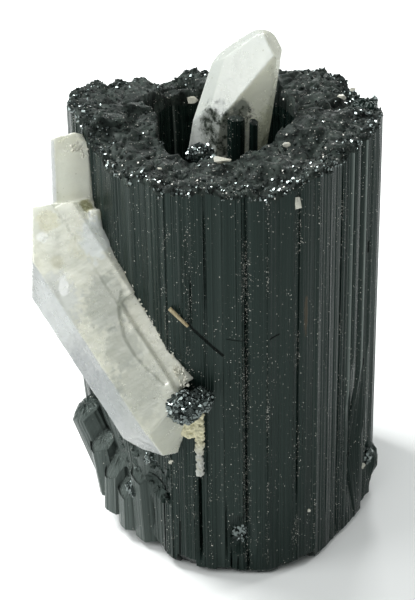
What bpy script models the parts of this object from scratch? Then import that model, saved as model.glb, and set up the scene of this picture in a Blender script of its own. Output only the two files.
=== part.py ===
"""Quartz with schorl: a hollow, striated schorl column with milky quartz crystals grown in it and on it.

Lengths are in millimetres until MM turns them into metres. The column stands on its flat broken base at
z = 0, its axis passes through x = y = 0 there, and -Y is the front. Azimuths are degrees anticlockwise
from +X, seen from above. Radii and heights that go round the column are given every 15 degrees.
"""
import math
import random

import bmesh
import bpy
from mathutils import Matrix, Vector

MM = 0.001
GAP = 0.35
SKIN_RISE = 4.0

# The column
COLUMN_HEIGHT = 58.0
COLUMN_LEAN = -0.9
WALL_RADII = (21.6, 22.3, 23.6, 24.3, 23.5, 23.0, 21.5, 20.0, 19.5, 21.5, 22.8, 21.6,
              20.0, 19.0, 19.0, 19.8, 20.6, 22.4, 22.6, 23.2, 23.0, 21.4, 20.9, 21.2)
RIM_HEIGHTS = (60.5, 58.7, 57.0, 58.2, 57.9, 58.0, 57.2, 57.4, 57.4, 58.2, 58.5, 59.3,
               60.0, 59.8, 59.2, 58.0, 57.8, 57.7, 58.0, 58.1, 58.9, 59.2, 60.2, 61.0)
FOOT_HEIGHTS = (1.2, 1.0, 0.7, 1.0, 0.6, 0.8, 1.4, 1.0, 0.6, 1.2, 2.2, 3.4,
                3.8, 3.9, 3.6, 3.0, 1.9, 1.1, 0.5, 0.4, 0.9, 0.5, 0.9, 0.6)
FOOT_SLOPE = 0.6
FOOT_ROUNDING = 0.4
RIBS = 108
RIB_DEPTH = 0.42
RIB_SEED = 11
RIB_CLEARANCE = 1.3
RIM_ROUNDING = 0.7
WALL_LEVELS = (2.0, 5.0, 8.0, 11.0, 14.5, 18.5, 24.0, 32.0, 40.0, 48.0, 53.5)

# Long ribs and grooves of the wall: azimuth, half width in degrees, lowest and highest z, offset
WALL_RELIEF = (
    (258.2, 1.6, 34.0, 54.0, -0.45),
    (261.0, 2.2, 2.0, 17.0, -0.9),
    (264.6, 1.8, 0.0, 17.0, 0.45),
    (277.2, 1.7, 8.0, 60.0, -0.5),
    (294.5, 1.8, 10.0, 62.0, -0.4),
    (302.5, 2.0, 0.0, 62.0, 0.4),
    (317.0, 1.8, 0.0, 62.0, -0.5),
    (326.0, 3.0, 26.0, 62.0, 0.7),
    (332.0, 1.6, 20.0, 62.0, -0.8),
    (337.5, 2.2, 14.0, 62.0, 0.5),
    (341.5, 1.4, 16.0, 62.0, -0.6),
    (347.0, 2.4, 0.0, 62.0, 0.5),
    (12.0, 2.6, 0.0, 62.0, -1.0),
    (38.0, 2.4, 6.0, 62.0, 0.7),
    (66.0, 2.2, 0.0, 62.0, -0.9),
    (97.0, 2.8, 0.0, 62.0, -1.1),
    (116.0, 2.2, 0.0, 50.0, 0.8),
    (141.0, 2.4, 12.0, 62.0, -0.8),
    (158.0, 2.4, 0.0, 62.0, 0.7),
)
# Broken hollows and knots of the wall: azimuth, z, half width in degrees, half height, depth
WALL_BREAKS = (
    (333.0, 14.0, 10.0, 11.0, -1.3),
    (350.0, 7.0, 4.5, 3.2, 1.2),
    (275.0, 6.5, 5.5, 3.4, -1.0),
    (236.5, 6.5, 4.0, 3.0, -0.9),
    (244.0, 12.5, 6.0, 2.4, -0.8),
    (84.0, 14.0, 9.0, 9.0, -1.2),
    (132.0, 41.0, 8.0, 7.0, -0.9),
    (22.0, 9.0, 8.0, 6.0, -1.0),
    (202.0, 0.0, 46.0, 19.0, -2.7),
)

# The top's blocks, which are the broken ends of parallel crystals
BLOCK_RINGS = ((12.0, 11), (15.5, 15), (18.5, 19), (21.5, 24), (24.5, 26))
BLOCK_JITTER = 1.3
BLOCK_STEP = 0.75
BLOCK_TILT = 0.16
BLOCK_SEED = 5
TOP_SHARES = (0.04, 0.16, 0.3, 0.45, 0.6, 0.75, 0.88, 0.97)

# The hollow in the column's top
HOLLOW_RADII = (10.6, 10.5, 12.0, 14.3, 16.0, 15.2, 14.7, 15.0, 15.4, 13.6, 12.9, 10.4,
                8.6, 8.6, 9.7, 11.0, 12.2, 12.3, 10.4, 11.3, 11.2, 10.3, 10.5, 10.8)
HOLLOW_FLOOR = 36.0
HOLLOW_TAPER = 0.08
HOLLOW_RIB_SHARE = 0.6
HOLLOW_LEVELS = (56.0, 52.0, 46.0, 40.0)
FLOOR_BUMP = 1.4
FLOOR_WAVE = 0.9
FLOOR_SHARES = (0.9, 0.55)

# Small schorl crystals fused to the column: foot, tip, width, depth, roll in degrees, fall of the tip
FUSED_PRISMS = (
    ((1.0, -4.3, 34.0), (1.1, -4.0, 60.6), 2.5, 2.1, 0.0, 0.0),
    ((3.3, -4.4, 34.0), (3.4, -4.1, 60.2), 1.3, 1.5, 20.0, 0.3),
    ((-2.6, -11.0, 50.0), (-3.6, -9.6, 58.4), 3.8, 3.6, 15.0, 0.0),
    ((-15.4, -3.8, 3.6), (-20.3, -3.6, 16.6), 5.8, 5.4, 12.0, 0.8),
    ((-16.0, -7.0, 4.2), (-17.6, -7.0, 13.4), 5.2, 4.8, 40.0, 1.0),
    ((-15.2, -9.6, 2.8), (-15.2, -9.8, 12.2), 4.8, 4.6, 15.0, 1.5),
    ((-13.2, -12.4, 1.8), (-13.4, -12.6, 9.8), 4.4, 4.2, 55.0, 1.2),
    ((-10.6, -14.4, 1.2), (-11.4, -15.2, 14.6), 4.6, 4.0, 5.0, 1.6),
    ((-17.2, 1.4, 4.4), (-17.0, 1.8, 15.8), 6.4, 5.8, 25.0, 1.2),
    ((-16.6, 6.4, 3.2), (-17.2, 7.2, 22.0), 6.6, 6.0, 5.0, 1.0),
    ((18.8, 1.2, 22.0), (18.5, 1.2, 60.8), 3.8, 3.4, 12.0, 0.0),
    ((17.4, 13.4, 2.6), (17.0, 14.0, 29.0), 7.4, 6.4, 35.0, 1.1),
    ((-2.6, 18.2, 1.4), (-3.2, 17.8, 20.0), 8.0, 6.4, 8.0, 0.9),
    ((-16.2, 12.4, 2.4), (-17.2, 12.2, 35.0), 7.4, 6.8, 18.0, 1.2),
)
PRISM_TAPER = 0.94

# Quartz in the hollow: a prism cut by its end faces, each a point and an outward direction
HOLLOW_QUARTZ_AXIS = ((-2.0, 1.6, HOLLOW_FLOOR + GAP), (4.6, 1.6, 80.0))
HOLLOW_QUARTZ_SIZE = (12.0, 8.0)
HOLLOW_QUARTZ_FACES = (
    ((-2.4, 1.5, 63.8), (-0.86, -0.22, 0.46)),
    ((0.7, -2.1, 63.4), (-0.50, -0.72, 0.48)),
    ((3.0, 1.5, 70.7), (-0.42, 0.10, 0.90)),
    ((5.0, 1.5, 71.1), (0.35, -0.10, 0.93)),
    ((6.8, 1.5, 69.0), (0.94, 0.05, 0.33)),
    ((6.9, 1.5, 65.5), (0.985, -0.10, -0.13)),
    ((4.6, -2.0, 69.2), (0.25, -0.85, 0.46)),
    ((3.0, 5.0, 68.0), (-0.10, 0.80, 0.58)),
)

# Quartz on the wall: a long crystal, an upright one above it and a thin flake beside them
SIDE_QUARTZ_AXIS = ((-27.4, -6.2, 49.6), (-3.5, -25.7, 19.0))
SIDE_QUARTZ_SIZE = (12.4, 9.6)
SIDE_QUARTZ_FACES = (
    ((-26.2, -9.0, 44.2), (-0.99, -0.10, 0.05)),
    ((-25.2, -11.1, 50.9), (-0.14, 0.44, 0.89)),
    ((-8.3, -23.3, 19.9), (-0.24, -0.16, -0.95)),
    ((-9.6, -24.2, 21.6), (-0.34, -0.72, -0.60)),
    ((-5.5, -22.0, 23.2), (0.99, -0.06, 0.06)),
    ((-7.0, -24.2, 26.4), (0.66, -0.70, -0.26)),
)
# Layers on its right: from and to along its axis, shift to the right, shift to the back, width, depth
SIDE_QUARTZ_LAYERS = (
    (4.0, 19.0, 2.2, -1.0, 13.2, 7.4),
    (14.0, 32.6, 2.9, -0.7, 10.8, 6.6),
)
# The flake broken out of its front: corners along its axis and to the right, and its depth at both sides
SCOOP_CORNERS = ((17.6, 5.2), (19.4, 3.4), (21.2, 1.5), (23.4, 0.7),
                 (26.0, 0.6), (28.8, 1.0), (31.4, 2.8), (31.4, 5.2))
SCOOP_DEPTH = 0.8
SCOOP_WALL = 0.25
QUARTZ_FRONT = (0.0, -0.88, 0.47)
UPPER_QUARTZ_AXIS = ((-20.2, -8.0, 40.0), (-20.6, -3.6, 62.0))
UPPER_QUARTZ_SIZE = (9.0, 6.0)
UPPER_QUARTZ_FACES = (
    ((-20.6, -7.0, 59.5), (-0.24, 0.55, 0.80)),
    ((-20.0, -7.0, 59.6), (0.66, 0.10, 0.74)),
    ((-23.2, -8.0, 50.0), (-0.98, -0.20, 0.02)),
)
FLAKE_AXIS = ((-17.2, -13.2, 41.6), (-17.6, -10.6, 50.2))
FLAKE_SIZE = (2.8, 2.8)

# Knob of black crystals below the long quartz, and the pale crust that runs down under it
KNOB_CENTRE = (-5.5, -24.7, 28.4)
KNOB_RADII = (3.2, 2.9, 2.7)
KNOB_ROUGHNESS = 0.16
KNOB_SEED = 4
CRUST_AZIMUTHS = (257.2, 258.6, 259.8, 260.9, 261.4, 261.3, 261.0)
CRUST_TOP = 24.3
CRUST_BOTTOM = 15.6
CRUST_HALF_WIDTHS = (0.9, 1.9, 1.5, 0.95, 0.72, 0.66, 0.42)
CRUST_THICKNESSES = (0.5, 1.2, 1.15, 0.95, 0.85, 0.75, 0.4)
CRUST_SIDES = 8
CRUST_SEED = 8

# Trims
NEEDLE_ENDS = ((252.0, 41.3), (258.5, 39.2))
NEEDLE_SIZE = (0.75, 0.55)
NEEDLE_CLEARANCE = 0.95
CHIP_AZIMUTH = 270.5
CHIP_RADIUS = 13.0
CHIP_SIZE = (2.3, 1.5, 1.0)
CHIP_CLEARANCE = 0.95

COLOURS = {
    "schorl": ((0.022, 0.025, 0.026), 0.32),
    "black knob": ((0.012, 0.013, 0.015), 0.16),
    "milky quartz": ((0.72, 0.73, 0.70), 0.22),
    "pale crust": ((0.70, 0.66, 0.50), 0.75),
    "brown splinter": ((0.34, 0.22, 0.12), 0.6),
}


def round_curve(values, azimuth):
    """A smooth closed curve through values that stand at even azimuths."""
    count = len(values)
    place = (azimuth % 360.0) / 360.0 * count
    first = int(place)
    t = place - first
    a, b, c, d = (values[(first + k) % count] for k in (-1, 0, 1, 2))
    bend = 2 * a - 5 * b + 4 * c - d
    return 0.5 * (2 * b + (c - a) * t + bend * t * t + (3 * b - a - 3 * c + d) * t ** 3)


def azimuth_distance(first, second):
    """Degrees between two azimuths, the short way round."""
    return abs((first - second + 180.0) % 360.0 - 180.0)


def tent(distance, half_width):
    """1 at no distance, falling in a straight line to 0 at the half width."""
    return max(0.0, 1.0 - distance / half_width)


def rib_edges():
    """Azimuth and offset of every rib's edge, with an edge on each side of each named rib or groove."""
    rng = random.Random(RIB_SEED)
    fixed = []
    for azimuth, half_width, *_ in WALL_RELIEF:
        fixed += [azimuth - half_width, azimuth, azimuth + half_width]
    widths = [rng.uniform(0.55, 1.45) for _ in range(RIBS)]
    azimuth = 0.0
    edges = [(place % 360.0, 0.0) for place in fixed]
    for width in widths:
        offset = rng.uniform(-RIB_DEPTH, RIB_DEPTH)
        if all(azimuth_distance(azimuth, place) > RIB_CLEARANCE for place in fixed):
            edges.append((azimuth, offset))
        azimuth += 360.0 * width / sum(widths)
    return sorted(edges)


def relief(azimuth, z):
    """How far the named ribs, grooves, breaks and knots move the wall outward."""
    offset = 0.0
    for centre, half_width, low, high, height in WALL_RELIEF:
        if low <= z <= high:
            offset += height * tent(azimuth_distance(azimuth, centre), half_width)
    for centre, level, half_width, half_height, depth in WALL_BREAKS:
        side = tent(azimuth_distance(azimuth, centre), half_width)
        offset += depth * min(1.0, 2.0 * side * tent(abs(z - level), half_height))
    return offset


def on_column(azimuth, radius, z):
    """A point at an azimuth and radius about the column's leaning axis."""
    turn = math.radians(azimuth)
    return Vector((radius * math.cos(turn) + COLUMN_LEAN * z / COLUMN_HEIGHT, radius * math.sin(turn), z))


def wall_point(azimuth, offset, z, grow=0.0):
    """A point of the wall, or of a skin that stands off it by grow."""
    radius = round_curve(WALL_RADII, azimuth) + offset + relief(azimuth, z)
    return on_column(azimuth, radius + grow, z)


def block_centres():
    """Centre, height and slope of each block of the top."""
    rng = random.Random(BLOCK_SEED)
    blocks = []
    for radius, count in BLOCK_RINGS:
        for k in range(count):
            turn = 2.0 * math.pi * k / count
            x = radius * math.cos(turn) + rng.uniform(-BLOCK_JITTER, BLOCK_JITTER)
            y = radius * math.sin(turn) + rng.uniform(-BLOCK_JITTER, BLOCK_JITTER)
            height = rng.uniform(-BLOCK_STEP, BLOCK_STEP)
            slope = (rng.uniform(-BLOCK_TILT, BLOCK_TILT), rng.uniform(-BLOCK_TILT, BLOCK_TILT))
            blocks.append((x, y, height, slope))
    return blocks


def top_height(blocks, point, azimuth):
    """Height of the top at a point: its block's, on the rim's own rise and fall."""
    def distance(block):
        return math.hypot(point.x - block[0], point.y - block[1])
    x, y, height, slope = min(blocks, key=distance)
    return round_curve(RIM_HEIGHTS, azimuth) + height + slope[0] * (point.x - x) + slope[1] * (point.y - y)


def wall_rings(edges, blocks, grow=0.0):
    """The wall's rings from the flat base's edge up to the rim."""
    base, foot = [], []
    for azimuth, offset in edges:
        height = round_curve(FOOT_HEIGHTS, azimuth)
        foot.append(wall_point(azimuth, offset, height, grow))
        radius = round_curve(WALL_RADII, azimuth) + relief(azimuth, height) + grow
        radius -= FOOT_SLOPE * height + FOOT_ROUNDING
        base.append(on_column(azimuth, radius, 0.0))
    rings = [base, foot]
    for k, level in enumerate(WALL_LEVELS):
        ring = []
        for (azimuth, offset), low in zip(edges, foot):
            z = max(level, low.z + 0.7 * (k + 1))
            ring.append(wall_point(azimuth, offset, z, grow))
        rings.append(ring)
    rim = []
    for azimuth, offset in edges:
        point = wall_point(azimuth, offset, round_curve(RIM_HEIGHTS, azimuth), grow)
        point.z = max(top_height(blocks, point, azimuth) - RIM_ROUNDING, WALL_LEVELS[-1] + 1.0)
        rim.append(point)
    return rings + [rim]


def hollow_point(azimuth, offset, z, share=1.0):
    """A point of the hollow's wall, which narrows a little downward."""
    depth = (COLUMN_HEIGHT - z) / (COLUMN_HEIGHT - HOLLOW_FLOOR)
    radius = round_curve(HOLLOW_RADII, azimuth) * (1.0 - HOLLOW_TAPER * depth) + HOLLOW_RIB_SHARE * offset
    return on_column(azimuth, radius * share, z)


def top_and_hollow_rings(edges, blocks, rim):
    """Rings across the blocky top, down the hollow's wall and in over its bumpy floor."""
    rings = []
    for share in TOP_SHARES:
        ring = []
        for (azimuth, offset), outer in zip(edges, rim):
            inner = hollow_point(azimuth, offset, COLUMN_HEIGHT)
            point = outer.lerp(inner, share)
            point.z = top_height(blocks, point, azimuth)
            ring.append(point)
        rings.append(ring)
    for z in HOLLOW_LEVELS:
        rings.append([hollow_point(azimuth, offset, z) for azimuth, offset in edges])
    for share in FLOOR_SHARES:
        ring = [hollow_point(azimuth, offset, HOLLOW_FLOOR, share) for azimuth, offset in edges]
        for point in ring:
            waves = math.sin(FLOOR_WAVE * point.x) * math.cos(FLOOR_WAVE * point.y)
            point.z -= FLOOR_BUMP * (0.5 + 0.5 * waves)
        rings.append(ring)
    return rings


def bridge(bm, lower, upper):
    """Faces between two rings of the same number of vertices."""
    for k in range(len(lower)):
        n = (k + 1) % len(lower)
        bm.faces.new((lower[k], lower[n], upper[n], upper[k]))


def loft(rings, tip=None):
    """A closed body through rings, with flat ends, or with the last ring drawn in to a tip."""
    bm = bmesh.new()
    loops = [[bm.verts.new(point) for point in ring] for ring in rings]
    for lower, upper in zip(loops, loops[1:]):
        bridge(bm, lower, upper)
    bm.faces.new(reversed(loops[0]))
    if tip is None:
        bm.faces.new(loops[-1])
    else:
        peak = bm.verts.new(tip)
        for k in range(len(loops[-1])):
            bm.faces.new((loops[-1][k], loops[-1][(k + 1) % len(loops[-1])], peak))
    return bm


def prism(foot, tip, width, depth, roll=0.0, front=QUARTZ_FRONT, taper=1.0):
    """A six-sided prism from foot to tip, with one wide face towards the front."""
    foot, tip = Vector(foot), Vector(tip)
    along = (tip - foot).normalized()
    back = -Vector(front)
    back = (back - back.dot(along) * along).normalized()
    across = back.cross(along)
    bm = bmesh.new()
    length = (tip - foot).length
    bmesh.ops.create_cone(bm, cap_ends=True, segments=6, radius1=0.5, radius2=0.5 * taper, depth=length)
    bmesh.ops.rotate(bm, verts=bm.verts, matrix=Matrix.Rotation(math.radians(30.0 + roll), 3, "Z"))
    bmesh.ops.scale(bm, verts=bm.verts, vec=(width, depth / math.cos(math.radians(30.0)), 1.0))
    bmesh.ops.translate(bm, verts=bm.verts, vec=(0.0, 0.0, 0.5 * length))
    turn = Matrix((across, back, along)).transposed().to_4x4()
    bmesh.ops.transform(bm, verts=bm.verts, matrix=Matrix.Translation(foot) @ turn)
    return bm


def cut_faces(bm, faces):
    """Cut a crystal back to each plane, given by a point and an outward direction, and close it."""
    for point, outward in faces:
        parts = bm.verts[:] + bm.edges[:] + bm.faces[:]
        bmesh.ops.bisect_plane(bm, geom=parts, plane_co=point, plane_no=outward, clear_outer=True)
        bmesh.ops.holes_fill(bm, edges=[edge for edge in bm.edges if edge.is_boundary], sides=0)
    return bm


def add_object(name, bm, collection, origin=(0.0, 0.0, 0.0), material=None):
    """Make an object whose own origin is at a point of the model."""
    bmesh.ops.translate(bm, verts=bm.verts, vec=-Vector(origin))
    bmesh.ops.scale(bm, verts=bm.verts, vec=(MM, MM, MM))
    bmesh.ops.recalc_face_normals(bm, faces=bm.faces)
    mesh = bpy.data.meshes.new(name)
    bm.to_mesh(mesh)
    bm.free()
    if material:
        mesh.materials.append(material)
    thing = bpy.data.objects.new(name, mesh)
    thing.location = Vector(origin) * MM
    collection.objects.link(thing)
    return thing


def add_guide(name, bm, collection):
    """A shape that only joins or cuts another."""
    guide = add_object(name, bm, collection)
    guide.hide_render = True
    guide.display_type = "WIRE"
    return guide


def join_with(thing, collection):
    """Grow the collection's shapes into a thing, as one body."""
    modifier = thing.modifiers.new("Grown together", "BOOLEAN")
    modifier.operation = "UNION"
    modifier.operand_type = "COLLECTION"
    modifier.collection = collection
    modifier.solver = "EXACT"


def keep_clear_of(thing, guide):
    """Cut a thing back to a guide."""
    modifier = thing.modifiers.new("Kept clear", "BOOLEAN")
    modifier.operation = "DIFFERENCE"
    modifier.object = guide
    modifier.solver = "EXACT"


def make_material(name):
    colour, roughness = COLOURS[name]
    material = bpy.data.materials.new(name)
    material.use_nodes = True
    shader = material.node_tree.nodes["Principled BSDF"]
    shader.inputs["Base Color"].default_value = (*colour, 1.0)
    shader.inputs["Roughness"].default_value = roughness
    shader.inputs["Metallic"].default_value = 0.0
    material.diffuse_color = (*colour, 1.0)
    return material


def new_collection(name, parent=None):
    collection = bpy.data.collections.new(name)
    (parent or bpy.context.scene.collection).children.link(collection)
    return collection


def build_column(parts, guides, edges, blocks):
    """The hollow schorl column with the small crystals that are fused to it."""
    wall = wall_rings(edges, blocks)
    rings = wall + top_and_hollow_rings(edges, blocks, wall[-1])
    centre = on_column(0.0, 0.0, HOLLOW_FLOOR - FLOOR_BUMP)
    column = add_object("schorl_column", loft(rings, centre), parts, material=make_material("schorl"))
    fused = new_collection("fused prisms", guides)
    for k, (foot, tip, width, depth, roll, fall) in enumerate(FUSED_PRISMS, 1):
        shape = prism(foot, tip, width, depth, roll, front=(0.0, -1.0, 0.0), taper=PRISM_TAPER)
        if fall:
            outward = Vector((tip[0], tip[1], 0.0)).normalized()
            middle = Vector(tip) - Vector((0.0, 0.0, 0.5 * fall))
            cut_faces(shape, ((middle, fall * outward + Vector((0.0, 0.0, 1.0))),))
        add_guide(f"fused prism {k}", shape, fused)
    join_with(column, fused)


def build_hollow_quartz(parts, quartz):
    """The leaning quartz crystal that stands on the hollow's floor."""
    foot, tip = HOLLOW_QUARTZ_AXIS
    crystal = prism(foot, tip, *HOLLOW_QUARTZ_SIZE, front=(0.15, -1.0, 0.0))
    cut_faces(crystal, (((0.0, 0.0, foot[2] + 0.8), (0.0, 0.0, -1.0)),))
    cut_faces(crystal, HOLLOW_QUARTZ_FACES)
    add_object("hollow_quartz", crystal, parts, foot, quartz)


def long_quartz(grow=0.0):
    """The long crystal on the wall, or a skin that stands off it by grow."""
    width, depth = SIDE_QUARTZ_SIZE
    crystal = prism(*SIDE_QUARTZ_AXIS, width + 2.0 * grow, depth + 2.0 * grow)
    faces = []
    for point, outward in SIDE_QUARTZ_FACES:
        faces.append((Vector(point) + grow * Vector(outward).normalized(), outward))
    return cut_faces(crystal, faces)


def on_long_quartz(along, right, back):
    """A point by its place along the long crystal's axis, to its right and to its back."""
    foot, tip = (Vector(end) for end in SIDE_QUARTZ_AXIS)
    axis = (tip - foot).normalized()
    backward = -Vector(QUARTZ_FRONT)
    backward = (backward - backward.dot(axis) * axis).normalized()
    return foot + along * axis - right * backward.cross(axis) + back * backward


def quartz_layer(start, end, right, back, width, depth, grow=0.0):
    """A layer of the long crystal's right side."""
    ends = (on_long_quartz(start - grow, right, back), on_long_quartz(end + grow, right, back))
    return cut_faces(prism(*ends, width + 2.0 * grow, depth + 2.0 * grow), SIDE_QUARTZ_FACES[:2])


def scoop():
    """The shape of the flake that is broken out of the long crystal's front."""
    surface = -0.5 * SIDE_QUARTZ_SIZE[1]
    middle = sum(right for _, right in SCOOP_CORNERS) / len(SCOOP_CORNERS)
    floor, lid = [], []
    for along, right in SCOOP_CORNERS:
        inward = SCOOP_WALL if right < middle else 0.0
        floor.append(on_long_quartz(along, right + inward, surface + SCOOP_DEPTH))
        lid.append(on_long_quartz(along, right, surface - 1.0))
    return loft((floor, lid))


def build_side_quartz(parts, guides, quartz, skin):
    """The quartz crystals grown together on the wall's left, cut back to the wall."""
    group = add_object("side_quartz", long_quartz(), parts, SIDE_QUARTZ_AXIS[0], quartz)
    grown = new_collection("side quartz crystals", guides)
    upper = prism(*UPPER_QUARTZ_AXIS, *UPPER_QUARTZ_SIZE, front=(0.0, -1.0, 0.0))
    add_guide("upper quartz", cut_faces(upper, UPPER_QUARTZ_FACES), grown)
    add_guide("quartz flake", prism(*FLAKE_AXIS, *FLAKE_SIZE, taper=0.6), grown)
    for k, layer in enumerate(SIDE_QUARTZ_LAYERS, 1):
        add_guide(f"quartz layer {k}", quartz_layer(*layer), grown)
    join_with(group, grown)
    keep_clear_of(group, skin)
    keep_clear_of(group, add_guide("broken out flake", scoop(), guides))


def build_knob(parts, skins):
    """The knob of small black crystals on the wall."""
    rng = random.Random(KNOB_SEED)
    bm = bmesh.new()
    bmesh.ops.create_icosphere(bm, subdivisions=2, radius=1.0)
    for vertex in bm.verts:
        vertex.co *= 1.0 + rng.uniform(-KNOB_ROUGHNESS, KNOB_ROUGHNESS)
    bmesh.ops.scale(bm, verts=bm.verts, vec=KNOB_RADII)
    bmesh.ops.translate(bm, verts=bm.verts, vec=KNOB_CENTRE)
    knob = add_object("schorl_knob", bm, parts, KNOB_CENTRE, make_material("black knob"))
    for skin in skins:
        keep_clear_of(knob, skin)


def build_crust(parts, skins):
    """The pale crust below the knob, which ends in a drip."""
    rng = random.Random(CRUST_SEED)
    rings = []
    last = len(CRUST_AZIMUTHS) - 1
    for k, azimuth in enumerate(CRUST_AZIMUTHS):
        z = CRUST_BOTTOM + (CRUST_TOP - CRUST_BOTTOM) * (last - k) / last
        middle = wall_point(azimuth, 0.0, z)
        turn = math.radians(azimuth)
        outward = Vector((math.cos(turn), math.sin(turn), 0.0))
        sideways = Vector((math.sin(turn), -math.cos(turn), 0.0))
        ring = []
        for n in range(CRUST_SIDES):
            angle = 2.0 * math.pi * n / CRUST_SIDES
            swell = rng.uniform(0.88, 1.12)
            side = CRUST_HALF_WIDTHS[k] * math.cos(angle) * swell
            out = CRUST_THICKNESSES[k] * math.sin(angle) * swell
            ring.append(middle + sideways * side + outward * out)
        rings.append(ring)
    crust = add_object("pale_crust", loft(rings), parts, rings[0][0], make_material("pale crust"))
    for skin in skins:
        keep_clear_of(crust, skin)


def build_needle(parts):
    """The brown splinter that lies on the wall."""
    ends = [wall_point(azimuth, 0.0, z, NEEDLE_CLEARANCE) for azimuth, z in NEEDLE_ENDS]
    splinter = prism(*ends, *NEEDLE_SIZE, front=(-0.3, -0.9, 0.2), taper=0.6)
    add_object("brown_needle", splinter, parts, ends[0], make_material("brown splinter"))


def build_chip(parts, blocks, quartz):
    """The small quartz chip on the front of the rim."""
    place = on_column(CHIP_AZIMUTH, CHIP_RADIUS, COLUMN_HEIGHT)
    place.z = top_height(blocks, place, CHIP_AZIMUTH) + CHIP_CLEARANCE
    width, depth, height = CHIP_SIZE
    reach = Vector((0.5 * width, 0.1 * depth, 0.0))
    chip = prism(place - reach, place + reach, depth, height, roll=12.0, front=(0.0, 0.0, 1.0), taper=0.55)
    add_object("rim_quartz_chip", chip, parts, place, quartz)


def main():
    for thing in list(bpy.data.objects):
        bpy.data.objects.remove(thing)
    parts = new_collection("quartz with schorl")
    guides = new_collection("guides")
    edges = rib_edges()
    blocks = block_centres()
    skin_rings = wall_rings(edges, blocks, GAP)
    for point in skin_rings[-1]:
        point.z += SKIN_RISE
    skin = add_guide("wall skin", loft(skin_rings), guides)
    quartz = make_material("milky quartz")
    build_column(parts, guides, edges, blocks)
    build_hollow_quartz(parts, quartz)
    build_side_quartz(parts, guides, quartz, skin)
    lower_layer = quartz_layer(*SIDE_QUARTZ_LAYERS[-1], grow=GAP)
    skins = (skin, add_guide("long quartz skin", long_quartz(GAP), guides),
             add_guide("quartz layer skin", lower_layer, guides))
    build_knob(parts, skins)
    build_crust(parts, skins)
    build_needle(parts)
    build_chip(parts, blocks, quartz)


main()
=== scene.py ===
"""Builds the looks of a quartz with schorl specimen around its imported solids.

Lengths in the tables are in millimetres until MM turns them into metres. Azimuths are degrees
anticlockwise from +X, seen from above, and -Y is the front. Heights and radii that go round the column
are given every 15 degrees.
"""

import math
import random

import bmesh
import bpy
import numpy as np
from bpy.props import FloatProperty, FloatVectorProperty, IntProperty, PointerProperty
from mathutils import Matrix, Vector, noise


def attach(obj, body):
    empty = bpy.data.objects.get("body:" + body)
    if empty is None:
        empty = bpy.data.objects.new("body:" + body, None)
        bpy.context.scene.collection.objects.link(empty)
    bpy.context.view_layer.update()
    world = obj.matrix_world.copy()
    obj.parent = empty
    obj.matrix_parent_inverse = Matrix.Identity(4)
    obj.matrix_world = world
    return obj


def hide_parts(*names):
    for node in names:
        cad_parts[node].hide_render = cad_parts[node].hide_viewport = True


bl_info = {
    "name": "Quartz with schorl",
    "version": (1, 0, 0),
    "blender": (4, 5, 0),
    "location": "3D View > Sidebar > Specimen",
    "description": "Builds a hollow striated schorl column with milky quartz crystals on it",
    "category": "Object",
}

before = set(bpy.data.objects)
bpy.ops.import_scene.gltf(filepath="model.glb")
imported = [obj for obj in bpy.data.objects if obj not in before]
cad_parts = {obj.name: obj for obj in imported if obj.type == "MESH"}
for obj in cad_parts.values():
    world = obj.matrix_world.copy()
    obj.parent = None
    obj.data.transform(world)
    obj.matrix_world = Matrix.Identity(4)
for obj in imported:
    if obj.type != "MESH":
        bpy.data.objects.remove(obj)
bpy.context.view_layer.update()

MM = 0.001
BODY = "root"

# The column, as in its solid
COLUMN_HEIGHT = 58.0
COLUMN_LEAN = -0.9
WALL_RADII = (21.6, 22.3, 23.6, 24.3, 23.5, 23.0, 21.5, 20.0, 19.5, 21.5, 22.8, 21.6,
              20.0, 19.0, 19.0, 19.8, 20.6, 22.4, 22.6, 23.2, 23.0, 21.4, 20.9, 21.2)
RIM_HEIGHTS = (60.5, 58.7, 57.0, 58.2, 57.9, 58.0, 57.2, 57.4, 57.4, 58.2, 58.5, 59.3,
               60.0, 59.8, 59.2, 58.0, 57.8, 57.7, 58.0, 58.1, 58.9, 59.2, 60.2, 61.0)
FOOT_HEIGHTS = (1.2, 1.0, 0.7, 1.0, 0.6, 0.8, 1.4, 1.0, 0.6, 1.2, 2.2, 3.4,
                3.8, 3.9, 3.6, 3.0, 1.9, 1.1, 0.5, 0.4, 0.9, 0.5, 0.9, 0.6)
FOOT_SLOPE = 0.6
FOOT_ROUNDING = 0.4
FOOT_CHIPS = 50
FOOT_CHIP_HEIGHT = 1.5
FOOT_SEED = 4
RIBS = 108
RIB_DEPTH = 0.42
RIB_SHARE = 0.5
RELIEF_SHARE = 0.55
RIB_SEED = 11
RIB_CLEARANCE = 1.3
RIM_ROUNDING = 0.7
# Heights at which the fine lines change
LINE_LEVELS = np.array([-5.0, 9.0, 20.0, 33.0, 46.0, 66.0])
# Mesh rings: heights up the wall, closer together over the broken foot, and shares of the way in over the top
WALL_LEVELS = np.concatenate([np.arange(0.9, 20.0, 1.3), np.arange(21.0, 58.0, 2.5)])
TOP_SHARES = np.concatenate([np.linspace(0.03, 0.36, 15), np.linspace(0.39, 0.985, 22)])

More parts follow.
